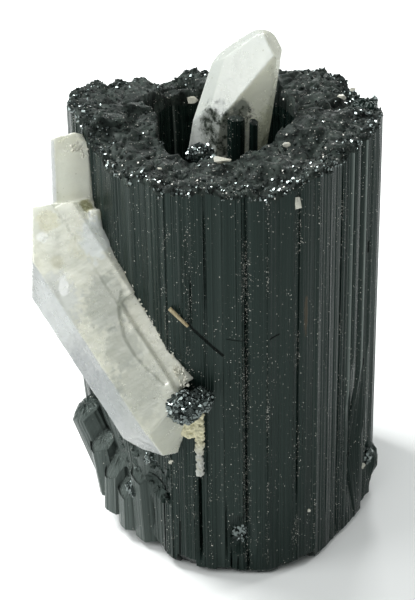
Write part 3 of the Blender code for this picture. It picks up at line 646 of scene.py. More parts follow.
class ColumnRings:
    """The column's rings from the base's edge up the wall, over the top and down into the hollow."""

    def __init__(self, settings):
        self.azimuth, self.offset = fine_lines(settings.line_spacing, settings.seed)
        self.rng = np.random.default_rng(settings.seed)
        count = len(self.azimuth)
        self.depth = settings.line_depth / MM
        strength = np.full(count, CALM_SHARE)
        for middle, half_width, _ in SPECK_BANDS:
            strength = np.maximum(strength, tent(azimuth_distance(self.azimuth, middle), 1.6 * half_width))
        wide = self.rng.normal(0.0, 0.8, (len(LINE_LEVELS), count)) * self.depth
        fixed = self.rng.normal(0.0, 1.0, count) * self.depth
        self.lines = (0.45 * wide + fixed) * strength
        self.blocks = block_centres()
        self.small = small_block_centres(settings.small_blocks, settings.small_block_step / MM)
        self.pits = pit_places(PITS)

    def fine(self, z):
        """The fine lines' offsets at a height for each line."""
        place = np.clip(np.searchsorted(LINE_LEVELS, z) - 1, 0, len(LINE_LEVELS) - 2)
        low, high = LINE_LEVELS[place], LINE_LEVELS[place + 1]
        share = (z - low) / (high - low)
        columns = np.arange(len(self.azimuth))
        return self.lines[place, columns] * (1.0 - share) + self.lines[place + 1, columns] * share

    def wall(self):
        """Rings of the broken foot and the striated wall."""
        az = self.azimuth
        broken = np.random.default_rng(FOOT_SEED).uniform(0.0, 1.0, FOOT_CHIPS) ** 2
        height = round_curve(FOOT_HEIGHTS, az)
        height = height + FOOT_CHIP_HEIGHT * broken[(az / 360.0 * FOOT_CHIPS).astype(int)]
        chips = np.convolve(np.tile(self.rng.uniform(0.0, 0.7, len(az)), 3), np.ones(5) / 5, "same")
        chips = chips[len(az):2 * len(az)]
        rings = []
        for share in (0.0, 0.35, 0.7):
            z = height * share
            radius = round_curve(WALL_RADII, az) + relief(az, height) + self.offset * share
            radius -= (FOOT_SLOPE * height + FOOT_ROUNDING) * (1.0 - share) + chips * (1.0 - share)
            rings.append(on_column(az, radius, z))
        top = round_curve(RIM_HEIGHTS, az) - 1.6
        for k, level in enumerate(WALL_LEVELS):
            z = np.minimum(np.maximum(level, height + 0.12 * k), top)
            if np.all(z >= top):
                break
            rings.append(wall_point(az, self.offset + self.fine(z), z))
        return rings

    def top(self):
        """Rings of the worn rim and across the broken top."""
        az = self.azimuth
        rim_z = round_curve(RIM_HEIGHTS, az)
        edge = wall_point(az, self.offset + self.fine(rim_z), rim_z)
        inner = on_column(az, round_curve(HOLLOW_RADII, az) + HOLLOW_RIB_SHARE * self.offset,
                          np.full(len(az), COLUMN_HEIGHT))
        rings = []
        for share, drop in ((0.0, RIM_ROUNDING), (0.012, 0.3)):
            ring = edge + (inner - edge) * share
            ring[:, 2] = self.surface(ring, 0.05) - drop
            rings.append(ring)
        for share in TOP_SHARES:
            ring = edge + (inner - edge) * share
            ring[:, :2] += self.rng.uniform(-0.03, 0.03, (len(az), 2))
            ring[:, 2] = self.surface(ring, 0.05 if share < 0.15 else 0.01)
            rings.append(ring)
        return rings

    def surface(self, ring, roughness):
        """Height of the broken top under a ring's points."""
        return top_height(self.blocks, self.small, self.pits, ring, self.azimuth, self.rng, roughness)

    def hollow(self):
        """Rings down the hollow's wall and in over its bumpy floor."""
        az = self.azimuth
        rings = []
        for z in HOLLOW_LEVELS:
            depth = (COLUMN_HEIGHT - z) / (COLUMN_HEIGHT - HOLLOW_FLOOR)
            radius = round_curve(HOLLOW_RADII, az) * (1.0 - HOLLOW_TAPER * depth)
            radius = radius + HOLLOW_RIB_SHARE * self.offset
            ledge = 0.35 * np.sin(az * 0.21 + 1.7 * np.floor(z / 3.1)) * np.cos(0.093 * az)
            rings.append(on_column(az, radius + 1.6 * self.fine(np.full(len(az), z)) + ledge, z))
        for share in HOLLOW_FLOOR_SHARES:
            radius = round_curve(HOLLOW_RADII, az) * (1.0 - HOLLOW_TAPER) * share
            ring = on_column(az, radius, HOLLOW_FLOOR)
            bumps = 0.5 + 0.5 * np.sin(0.9 * ring[:, 0]) * np.cos(0.9 * ring[:, 1])
            ring[:, 2] -= HOLLOW_FLOOR_BUMPS * bumps
            rings.append(ring)
        return rings


def ring_faces(rings, count, first=0):
    """Quads between rings of the same number of points."""
    faces = []
    for r in range(rings - 1):
        low, high = first + r * count, first + (r + 1) * count
        for k in range(count):
            n = (k + 1) % count
            faces.append((low + k, low + n, high + n, high + k))
    return faces


def striated_prism(prism, rng):
    """Points and faces of a small striated crystal, and which of the faces are its rough broken tip."""
    foot, tip, width, depth, roll, fall = prism
    foot, tip = Vector(foot), Vector(tip)
    along = (tip - foot).normalized()
    back = Vector((0.0, 1.0, 0.0))
    back = (back - back.dot(along) * along).normalized()
    across = back.cross(along)
    corners = [math.radians(60.0 * k + roll) for k in range(6)]
    outline = []
    for k in range(6):
        a, b = corners[k], corners[(k + 1) % 6]
        for n in range(PRISM_SIDE_POINTS):
            t = n / PRISM_SIDE_POINTS
            x = (math.cos(a) * (1 - t) + math.cos(b) * t) * 0.5 * width
            y = (math.sin(a) * (1 - t) + math.sin(b) * t) * 0.5 * depth / math.cos(math.radians(30.0))
            reach = math.hypot(x / width, y / depth)
            swell = (1.0 + 0.4 * (0.48 / reach - 1.0)) * (1.0 + rng.normal(0.0, 0.011))
            outline.append((x * swell, y * swell))
    length = (tip - foot).length
    outward = Vector((tip.x, tip.y, 0.0)).normalized()
    normal = fall * outward + Vector((0.0, 0.0, 1.0))
    middle = tip - Vector((0.0, 0.0, 0.5 * fall))
    points, rows = [], []
    for share in PRISM_RINGS:
        rows.append((share, 1.0 - (1.0 - PRISM_TAPER) * share, 0.0, share > 0.5))
    rows += [(1.0, scale * PRISM_TAPER, rough, True) for scale, rough in TIP_RINGS]
    for share, scale, rough, cut in rows:
        for x, y in outline:
            at = foot + along * length * share + across * x * scale + back * y * scale
            if cut and fall:
                limit = (middle - at).dot(normal) / normal.dot(along)
                at = at + along * min(0.0, limit)
            if share == 1.0:
                at = at - along * TIP_DOME * min(width, depth) * (scale / PRISM_TAPER) ** 3
            at = at + along * float(rng.uniform(-rough, rough))
            points.append(at)
    count = len(outline)
    faces = ring_faces(len(rows), count)
    centre = sum(points[-count:], Vector()) / count
    points += [foot, centre]
    last = (len(rows) - 1) * count
    for k in range(count):
        n = (k + 1) % count
        faces.append((len(points) - 2, n, k))
        faces.append((last + k, last + n, len(points) - 1))
    on_tip = [False] * (len(PRISM_RINGS) * count) + [True] * ((len(TIP_RINGS) - 1) * count)
    return points, faces, on_tip + [False, True] * count


# Making and finishing meshes

def make_mesh(name, points, faces, materials, face_slots=None):
    """A mesh from points in millimetres."""
    mesh = bpy.data.meshes.new(name)
    mesh.from_pydata([tuple(point) for point in np.asarray(points, float) * MM], [], faces)
    for material in materials:
        mesh.materials.append(material)
    if face_slots is not None:
        mesh.polygons.foreach_set("material_index", face_slots)
    mesh.update()
    return mesh


def place(name, mesh):
    """Put a mesh in the scene as an object at the origin."""
    thing = bpy.data.objects.new(name, mesh)
    bpy.context.scene.collection.objects.link(thing)
    return thing


def finish_modifiers(thing):
    """Turn a thing and its modifiers into a plain mesh."""
    bpy.context.view_layer.update()
    shape = thing.evaluated_get(bpy.context.evaluated_depsgraph_get())
    mesh = bpy.data.meshes.new_from_object(shape)
    thing.modifiers.clear()
    thing.data = mesh
    return thing


def hand_over(thing, replaced=None):
    """Let a finished piece ride on the body and stand for its solid."""
    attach(thing, BODY)
    if replaced:
        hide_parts(replaced)
    return thing


# Quartz geometry

def prism_shape(foot, tip, width, depth, roll=0.0, front=QUARTZ_FRONT, taper=1.0):
    """A six-sided prism from foot to tip, with one wide face towards the front."""
    foot, tip = Vector(foot), Vector(tip)
    along = (tip - foot).normalized()
    back = -Vector(front)
    back = (back - back.dot(along) * along).normalized()
    across = back.cross(along)
    bm = bmesh.new()
    length = (tip - foot).length
    bmesh.ops.create_cone(bm, cap_ends=True, segments=6, radius1=0.5, radius2=0.5 * taper, depth=length)
    bmesh.ops.rotate(bm, verts=bm.verts, matrix=Matrix.Rotation(math.radians(30.0 + roll), 3, "Z"))
    bmesh.ops.scale(bm, verts=bm.verts, vec=(width, depth / math.cos(math.radians(30.0)), 1.0))
    bmesh.ops.translate(bm, verts=bm.verts, vec=(0.0, 0.0, 0.5 * length))
    turn = Matrix((across, back, along)).transposed().to_4x4()
    bmesh.ops.transform(bm, verts=bm.verts, matrix=Matrix.Translation(foot) @ turn)
    return bm


def cut_faces(bm, faces):
    """Cut a crystal back to each plane, given by a point and an outward direction, and close it."""
    for point, outward in faces:
        parts = bm.verts[:] + bm.edges[:] + bm.faces[:]
        bmesh.ops.bisect_plane(bm, geom=parts, plane_co=point, plane_no=outward, clear_outer=True)
        bmesh.ops.holes_fill(bm, edges=[edge for edge in bm.edges if edge.is_boundary], sides=0)
    return bm


def on_long_quartz(along, right, back):
    """A point by its place along the long crystal's axis, to its right and to its back."""
    foot, tip = (Vector(end) for end in SIDE_QUARTZ_AXIS)
    axis = (tip - foot).normalized()
    backward = -Vector(QUARTZ_FRONT)
    backward = (backward - backward.dot(axis) * axis).normalized()
    return foot + along * axis - right * backward.cross(axis) + back * backward


def loft_shape(floor, lid):
    """A closed body between two outlines."""
    bm = bmesh.new()
    low = [bm.verts.new(point) for point in floor]
    high = [bm.verts.new(point) for point in lid]
    for k in range(len(low)):
        n = (k + 1) % len(low)
        bm.faces.new((low[k], low[n], high[n], high[k]))
    bm.faces.new(reversed(low))
    bm.faces.new(high)
    return bm


def shape_object(name, bm, material=None):
    """An object from a shape in millimetres."""
    bmesh.ops.scale(bm, verts=bm.verts, vec=(MM, MM, MM))
    bmesh.ops.recalc_face_normals(bm, faces=bm.faces)
    mesh = bpy.data.meshes.new(name)
    bm.to_mesh(mesh)
    bm.free()
    if material:
        mesh.materials.append(material)
    return place(name, mesh)


def join_and_cut(thing, added, cut, edge=0.0):
    """Grow shapes into a crystal, break others out of it, and wear its edges if asked."""
    for operation, others in (("UNION", added), ("DIFFERENCE", cut)):
        for other in others:
            modifier = thing.modifiers.new("Shape", "BOOLEAN")
            modifier.operation = operation
            modifier.object = other
            modifier.solver = "EXACT"
    if edge:
        bevel = thing.modifiers.new("Worn edges", "BEVEL")
        bevel.width = edge
        bevel.segments = 2
        bevel.limit_method = "ANGLE"
        bevel.angle_limit = math.radians(8.0)
    finish_modifiers(thing)
    for other in list(added) + list(cut):
        bpy.data.objects.remove(other)
    return thing


def grown_surface(thing, step, lumps, axis):
    """Give a crystal a fine mesh with softened edges, slow waves and faint growth lines across its axis."""
    cells = thing.modifiers.new("Fine mesh", "REMESH")
    cells.mode = "VOXEL"
    cells.voxel_size = step
    cells.use_smooth_shade = True
    soft = thing.modifiers.new("Soft edges", "SMOOTH")
    soft.factor = 0.5
    soft.iterations = 2
    finish_modifiers(thing)
    mesh = thing.data
    along = (Vector(axis[1]) - Vector(axis[0])).normalized()
    moved = []
    for vertex in mesh.vertices:
        place_mm = vertex.co / MM
        waves = noise.noise(place_mm * 0.33) + 0.45 * noise.noise(place_mm * 0.9)
        lines = 1.0 - abs(noise.noise(Vector((place_mm.dot(along) * 2.2, 0.3 * place_mm.x, 5.0))))
        grain = noise.noise(place_mm * 4.5)
        rise = lumps * (waves + 0.22 * lines ** 6 + 0.1 * grain)
        moved += list(vertex.co + vertex.normal * rise)
    mesh.vertices.foreach_set("co", moved)
    mesh.update()
    mesh.shade_smooth()
    return thing


# Small crystals grown on a patch, by geometry nodes

GROWTH_INPUTS = (
    ("Density", "NodeSocketFloat", 1.0e6),
    ("Half width", "NodeSocketFloat", 0.0002),
    ("Length", "NodeSocketFloat", 0.0005),
    ("Spread", "NodeSocketFloat", 0.5),
    ("Tilt", "NodeSocketFloat", 0.7),
    ("Seed", "NodeSocketInt", 1),
    ("Material", "NodeSocketMaterial", None),
)


def put(tree, kind, inputs=None, **settings):
    """Add a node, set it up, and fill or wire its inputs."""
    node = tree.nodes.new(kind)
    for key, value in settings.items():
        setattr(node, key, value)
    for key, value in (inputs or {}).items():
        if isinstance(value, bpy.types.NodeSocket):
            tree.links.new(value, node.inputs[key])
        else:
            node.inputs[key].default_value = value
    return node


def calc(tree, operation, *values, **settings):
    """The result of a maths node."""
    inputs = dict(enumerate(values))
    return put(tree, "ShaderNodeMath", inputs, operation=operation, **settings).outputs[0]


def vector(tree, operation, *values):
    """The outputs of a vector maths node."""
    return put(tree, "ShaderNodeVectorMath", dict(enumerate(values)), operation=operation).outputs


def growth_tree():
    """Small pointed crystals scattered over a patch, denser where the patch's growth is higher."""
    tree = bpy.data.node_groups.new("Grown crystals", "GeometryNodeTree")
    tree.interface.new_socket("Geometry", in_out="INPUT", socket_type="NodeSocketGeometry")
    for name, kind, default in GROWTH_INPUTS:
        socket = tree.interface.new_socket(name, in_out="INPUT", socket_type=kind)
        if default is not None:
            socket.default_value = default
    tree.interface.new_socket("Geometry", in_out="OUTPUT", socket_type="NodeSocketGeometry")
    given = put(tree, "NodeGroupInput").outputs
    growth = put(tree, "GeometryNodeInputNamedAttribute", {"Name": "growth"}, data_type="FLOAT")
    density = calc(tree, "MULTIPLY", given["Density"], growth.outputs["Attribute"])
    spots = put(tree, "GeometryNodeDistributePointsOnFaces",
                {"Mesh": given["Geometry"], "Density": density, "Seed": given["Seed"]})
    crystal = put(tree, "GeometryNodeMeshCone", {"Vertices": 5, "Side Segments": 1, "Radius Top": 0.55,
                                                 "Radius Bottom": 1.0, "Depth": 1.0})
    centred = put(tree, "GeometryNodeTransform", {"Geometry": crystal.outputs["Mesh"],
                                                  "Translation": (0.0, 0.0, -0.3)})
    negative = calc(tree, "MULTIPLY", given["Tilt"], -1.0)
    lean = put(tree, "FunctionNodeRandomValue", {0: negative, 1: given["Tilt"], "Seed": given["Seed"]},
               data_type="FLOAT_VECTOR")
    bent = put(tree, "FunctionNodeEulerToRotation", {0: lean.outputs[0]})
    turned = put(tree, "FunctionNodeRotateRotation", {0: spots.outputs["Rotation"], 1: bent.outputs[0]},
                 rotation_space="LOCAL")
    smallest = calc(tree, "SUBTRACT", 1.0, given["Spread"])
    largest = calc(tree, "ADD", 1.0, given["Spread"])
    size = put(tree, "FunctionNodeRandomValue", {2: smallest, 3: largest, "Seed": given["Seed"]},
               data_type="FLOAT")
    wide = calc(tree, "MULTIPLY", size.outputs[1], given["Half width"])
    tall = calc(tree, "MULTIPLY", size.outputs[1], given["Length"])
    scale = put(tree, "ShaderNodeCombineXYZ", {0: wide, 1: wide, 2: tall})
    copies = put(tree, "GeometryNodeInstanceOnPoints",
                 {"Points": spots.outputs["Points"], "Instance": centred.outputs["Geometry"],
                  "Rotation": turned.outputs[0], "Scale": scale.outputs[0]})
    solid = put(tree, "GeometryNodeRealizeInstances", {"Geometry": copies.outputs[0]})
    painted = put(tree, "GeometryNodeSetMaterial", {"Geometry": solid.outputs[0],
                                                    "Material": given["Material"]})
    put(tree, "NodeGroupOutput", {0: painted.outputs[0]})
    return tree


def grow(name, points, faces, growth, values):
    """Grow small crystals on a patch, given in millimetres, and return them as a plain object."""
    tree = bpy.data.node_groups.get("Grown crystals") or growth_tree()
    patch = place(name, make_mesh(name, points, faces, []))
    share = patch.data.attributes.new("growth", "FLOAT", "POINT")
    share.data.foreach_set("value", np.asarray(growth, np.float32))
    modifier = patch.modifiers.new("Growth", "NODES")
    sockets = {item.name: item.identifier for item in tree.interface.items_tree if item.in_out == "INPUT"}
    modifier.node_group = tree
    for key, value in values.items():
        modifier[sockets[key]] = value
    finish_modifiers(patch)
    return patch


def strip(line, width, normal):
    """A thin patch along a line of points."""
    line = [Vector(point) for point in line]
    normal = Vector(normal).normalized()
    points, faces = [], []
    for k, point in enumerate(line):
        step = (line[min(k + 1, len(line) - 1)] - line[max(k - 1, 0)]).normalized()
        side = step.cross(normal).normalized() * 0.5 * width
        points += [point - side, point + side]
    for k in range(len(line) - 1):
        faces.append((2 * k, 2 * k + 1, 2 * k + 3, 2 * k + 2))
    return points, faces


def join_pieces(name, pieces):
    """One object from several plain ones."""
    bm = bmesh.new()
    materials = []
    for piece in pieces:
        start = len(bm.faces)
        bm.from_mesh(piece.data)
        bm.faces.ensure_lookup_table()
        slots = []
        for material in piece.data.materials:
            if material not in materials:
                materials.append(material)
            slots.append(materials.index(material))
        for face in bm.faces[start:]:
            face.material_index = slots[face.material_index] if slots else 0
        bpy.data.objects.remove(piece)
    mesh = bpy.data.meshes.new(name)
    bm.to_mesh(mesh)
    bm.free()
    for material in materials:
        mesh.materials.append(material)
    return place(name, mesh)


def cluster(name, centre, radii, turn, values):
    """A lump covered with small crystals; turn is the azimuth that its second radius points to."""
    bm = bmesh.new()
    bmesh.ops.create_icosphere(bm, subdivisions=3, radius=1.0)
    bmesh.ops.scale(bm, verts=bm.verts, vec=radii)
    spin = Matrix.Rotation(math.radians(turn - 90.0), 3, "Z")
    bmesh.ops.rotate(bm, verts=bm.verts, matrix=spin)
    bmesh.ops.translate(bm, verts=bm.verts, vec=centre)
    for vertex in bm.verts:
        lump = noise.noise(vertex.co * 0.9) * 0.25
        vertex.co += (vertex.co - Vector(centre)).normalized() * lump
    points = [vertex.co.copy() for vertex in bm.verts]
    faces = [tuple(vertex.index for vertex in face.verts) for face in bm.faces]
    core = shape_object("core", bm, values["Material"])
    return [core, grow(name, points, faces, np.ones(len(points)), values)]


def chip(centre, size, seed, material):
    """A small sharp chip."""
    rng = random.Random(seed)
    bm = bmesh.new()
    for _ in range(14):
        direction = Vector([rng.gauss(0.0, 1.0) for _ in range(3)]).normalized()
        bm.verts.new(Vector(centre) + Vector(direction[k] * size[k] for k in range(3)))
    hull = bmesh.ops.convex_hull(bm, input=bm.verts)
    spare = [item for item in hull["geom_interior"] if isinstance(item, bmesh.types.BMVert)]
    bmesh.ops.delete(bm, geom=spare, context="VERTS")
    return shape_object("chip", bm, material)


# Shared surface effects, as node groups

def effect(name, inputs, outputs):
    """A new shader node group with named inputs and outputs."""
    tree = bpy.data.node_groups.new(name, "ShaderNodeTree")
    for label, kind, default in inputs:
        socket = tree.interface.new_socket(label, in_out="INPUT", socket_type=kind)
        if default is not None:
            socket.default_value = default
    for label, kind in outputs:
        tree.interface.new_socket(label, in_out="OUTPUT", socket_type=kind)
    return tree


def around_column():
    """Azimuth in degrees, and height and radius in millimetres, about the column's leaning axis."""
    name = "Around the column"
    if name in bpy.data.node_groups:
        return bpy.data.node_groups[name]
    tree = effect(name, (("Point", "NodeSocketVector", None),),
                  (("Azimuth", "NodeSocketFloat"), ("Height", "NodeSocketFloat"),
                   ("Radius", "NodeSocketFloat")))
    given = put(tree, "NodeGroupInput").outputs
    x, y, z = put(tree, "ShaderNodeSeparateXYZ", {0: given["Point"]}).outputs
    upright = calc(tree, "MULTIPLY_ADD", z, -COLUMN_LEAN / COLUMN_HEIGHT, x)
    degrees = calc(tree, "DEGREES", calc(tree, "ARCTAN2", y, upright))
    azimuth = calc(tree, "FLOORED_MODULO", calc(tree, "ADD", degrees, 360.0), 360.0)
    height = calc(tree, "MULTIPLY", z, 1000.0)
    flat = put(tree, "ShaderNodeCombineXYZ", {0: upright, 1: y, 2: 0.0}).outputs[0]
    radius = calc(tree, "MULTIPLY", vector(tree, "LENGTH", flat)["Value"], 1000.0)
    put(tree, "NodeGroupOutput", {0: azimuth, 1: height, 2: radius})
    return tree


def long_lines():
    """Lines along the column: a shade and a height that change round it and only slowly along it."""
    name = "Long lines"
    if name in bpy.data.node_groups:
        return bpy.data.node_groups[name]
    tree = effect(name, (("Azimuth", "NodeSocketFloat", 0.0), ("Height", "NodeSocketFloat", 0.0),
                         ("Fineness", "NodeSocketFloat", 3.0), ("Stretch", "NodeSocketFloat", 0.03)),
                  (("Shade", "NodeSocketFloat"), ("Lines", "NodeSocketFloat")))
    given = put(tree, "NodeGroupInput").outputs
    across = calc(tree, "MULTIPLY", given["Azimuth"], given["Fineness"])
    along = calc(tree, "MULTIPLY", given["Height"], given["Stretch"])
    flat = put(tree, "ShaderNodeCombineXYZ", {0: across, 1: along, 2: 0.0}).outputs[0]
    fine = put(tree, "ShaderNodeTexNoise", {"Vector": flat, "Scale": 1.0, "Detail": 3.0, "Roughness": 0.7})
    wide = put(tree, "ShaderNodeTexNoise", {"Vector": flat, "Scale": 0.13, "Detail": 2.0})
    both = calc(tree, "MULTIPLY", fine.outputs["Fac"], wide.outputs["Fac"])
    shade = put(tree, "ShaderNodeMapRange", {0: both, 1: 0.17, 2: 0.38, 3: 0.0, 4: 1.0})
    put(tree, "NodeGroupOutput", {0: shade.outputs[0], 1: fine.outputs["Fac"]})
    return tree


def band():
    """1 near an azimuth, fading out at a half width in degrees."""
    name = "Band"
    if name in bpy.data.node_groups:
        return bpy.data.node_groups[name]
    tree = effect(name, (("Azimuth", "NodeSocketFloat", 0.0), ("Middle", "NodeSocketFloat", 0.0),
                         ("Half width", "NodeSocketFloat", 1.0)), (("Mask", "NodeSocketFloat"),))
    given = put(tree, "NodeGroupInput").outputs
    off = calc(tree, "ABSOLUTE", calc(tree, "SUBTRACT", given["Azimuth"], given["Middle"]))
    share = calc(tree, "DIVIDE", off, given["Half width"])
    put(tree, "NodeGroupOutput", {0: calc(tree, "SUBTRACT", 1.0, share, use_clamp=True)})
    return tree


def line_mark():
    """A straight mark from one azimuth and height to another, as a mask; lengths are in millimetres."""
    name = "Line mark"
    if name in bpy.data.node_groups:
        return bpy.data.node_groups[name]
    tree = effect(name, (("Azimuth", "NodeSocketFloat", 0.0), ("Height", "NodeSocketFloat", 0.0),
                         ("From", "NodeSocketVector", None), ("Along", "NodeSocketVector", None),
                         ("Length", "NodeSocketFloat", 1.0), ("Half width", "NodeSocketFloat", 0.3)),
                  (("Mask", "NodeSocketFloat"),))
    given = put(tree, "NodeGroupInput").outputs
    across = calc(tree, "MULTIPLY", given["Azimuth"], MM_PER_DEGREE)
    at = put(tree, "ShaderNodeCombineXYZ", {0: across, 1: given["Height"], 2: 0.0}).outputs[0]
    off = vector(tree, "SUBTRACT", at, given["From"])[0]
    run = vector(tree, "DOT_PRODUCT", off, given["Along"])["Value"]
    held = calc(tree, "MINIMUM", calc(tree, "MAXIMUM", run, 0.0), given["Length"])
    foot = put(tree, "ShaderNodeVectorMath", {0: given["Along"], "Scale": held}, operation="SCALE").outputs[0]
    reach = vector(tree, "LENGTH", vector(tree, "SUBTRACT", off, foot)[0])["Value"]
    share = calc(tree, "DIVIDE", reach, given["Half width"])
    mask = put(tree, "ShaderNodeMapRange", {0: share, 1: 1.0, 2: 0.6, 3: 0.0, 4: 1.0})
    put(tree, "NodeGroupOutput", {0: mask.outputs[0]})
    return tree


def specks():
    """Small scattered specks, as a mask that a share makes denser."""
    name = "Specks"
    if name in bpy.data.node_groups:
        return bpy.data.node_groups[name]
    tree = effect(name, (("Point", "NodeSocketVector", None), ("Scale", "NodeSocketFloat", 2500.0),
                         ("Share", "NodeSocketFloat", 0.1), ("Size", "NodeSocketFloat", 0.3)),
                  (("Mask", "NodeSocketFloat"), ("Tone", "NodeSocketFloat")))
    given = put(tree, "NodeGroupInput").outputs
    cells = put(tree, "ShaderNodeTexVoronoi", {"Vector": given["Point"], "Scale": given["Scale"]}).outputs
    near = calc(tree, "LESS_THAN", cells["Distance"], given["Size"])
    parts = put(tree, "ShaderNodeSeparateColor", {0: cells["Color"]}).outputs
    chosen = calc(tree, "LESS_THAN", parts[0], given["Share"])
    put(tree, "NodeGroupOutput", {0: calc(tree, "MULTIPLY", near, chosen), 1: parts[1]})
    return tree


def spot():
    """A ragged patch about a point, as a mask."""
    name = "Spot"
    if name in bpy.data.node_groups:
        return bpy.data.node_groups[name]
    tree = effect(name, (("Point", "NodeSocketVector", None), ("Centre", "NodeSocketVector", None),
                         ("Reach", "NodeSocketFloat", 0.001),
                         ("Stretch", "NodeSocketVector", (1.0, 1.0, 1.0))), (("Mask", "NodeSocketFloat"),))
    given = put(tree, "NodeGroupInput").outputs
    off = vector(tree, "SUBTRACT", given["Point"], given["Centre"])[0]
    reach = vector(tree, "LENGTH", vector(tree, "MULTIPLY", off, given["Stretch"])[0])["Value"]
    share = calc(tree, "DIVIDE", reach, given["Reach"])
    ragged = put(tree, "ShaderNodeTexNoise", {"Vector": given["Point"], "Scale": 1400.0, "Detail": 3.0})
    edge = calc(tree, "MULTIPLY_ADD", ragged.outputs["Fac"], 1.1, share)
    mask = put(tree, "ShaderNodeMapRange", {0: edge, 1: 1.62, 2: 1.3, 3: 0.0, 4: 1.0})
    put(tree, "NodeGroupOutput", {0: mask.outputs[0]})
    return tree


# Materials

class Finish:
    """A material being built: its tree, its shader and the point that its patterns read."""

    def __init__(self, name, **sockets):
        self.material = bpy.data.materials.new(name)
        self.material.use_nodes = True
        self.tree = self.material.node_tree
        self.shader = self.tree.nodes["Principled BSDF"]
        for key, value in sockets.items():
            self.shader.inputs[key.replace("_", " ")].default_value = value
        self.point = put(self.tree, "ShaderNodeTexCoord").outputs["Object"]

    def group(self, effect_tree, inputs):
        """The outputs of a shared effect."""
        node = self.tree.nodes.new("ShaderNodeGroup")
        node.node_tree = effect_tree
        for key, value in inputs.items():
            if isinstance(value, bpy.types.NodeSocket):
                self.tree.links.new(value, node.inputs[key])
            else:
                node.inputs[key].default_value = value
        return node.outputs

    def math(self, operation, a, b=0.0, c=0.0, clamp=False):
        """The result of a maths node."""
        return calc(self.tree, operation, a, b, c, use_clamp=clamp)

    def noise(self, scale, detail=4.0, roughness=0.55, stretch=None):
        """Noise through the piece, drawn out if asked."""
        point = self.point
        if stretch:
            point = vector(self.tree, "MULTIPLY", point, stretch)[0]
        return put(self.tree, "ShaderNodeTexNoise", {"Vector": point, "Scale": scale, "Detail": detail,
                                                     "Roughness": roughness}).outputs["Fac"]

    def rescale(self, value, low, high, to_low=0.0, to_high=1.0):
        """A value's range from low to high, moved to another range and held inside it."""
        inputs = {0: value, 1: low, 2: high, 3: to_low, 4: to_high}
        return put(self.tree, "ShaderNodeMapRange", inputs).outputs[0]

    def mix(self, share, first, second):
        """A colour between two others."""
        node = put(self.tree, "ShaderNodeMix", {0: share, 6: first, 7: second}, data_type="RGBA")
        return node.outputs[2]

    def wire(self, value, socket):
        """Lead a value to the shader."""
        self.tree.links.new(value, self.shader.inputs[socket])

    def patch(self, centre, reach, stretch):
        """A ragged patch about a place in millimetres."""
        return self.group(spot(), {"Point": self.point, "Centre": Vector(centre) * MM, "Reach": reach * MM,
                                   "Stretch": stretch})[0]

    def near_azimuth(self, azimuth, middle, half_width):
        """A mask along the column about an azimuth."""
        return self.group(band(), {"Azimuth": azimuth, "Middle": middle, "Half width": half_width})[0]

    def bump(self, height, strength, distance, under=None):
        """A normal that a height raises and lowers, over another one if given."""
        inputs = {"Height": height, "Strength": strength, "Distance": distance}
        if under is not None:
            inputs["Normal"] = under
        return put(self.tree, "ShaderNodeBump", inputs).outputs[0]

    def facing(self, direction, low, high):
        """How far the surface faces a direction, from 0 to 1."""
        normal = put(self.tree, "ShaderNodeNewGeometry").outputs["True Normal"]
        return self.rescale(vector(self.tree, "DOT_PRODUCT", normal, direction)["Value"], low, high)


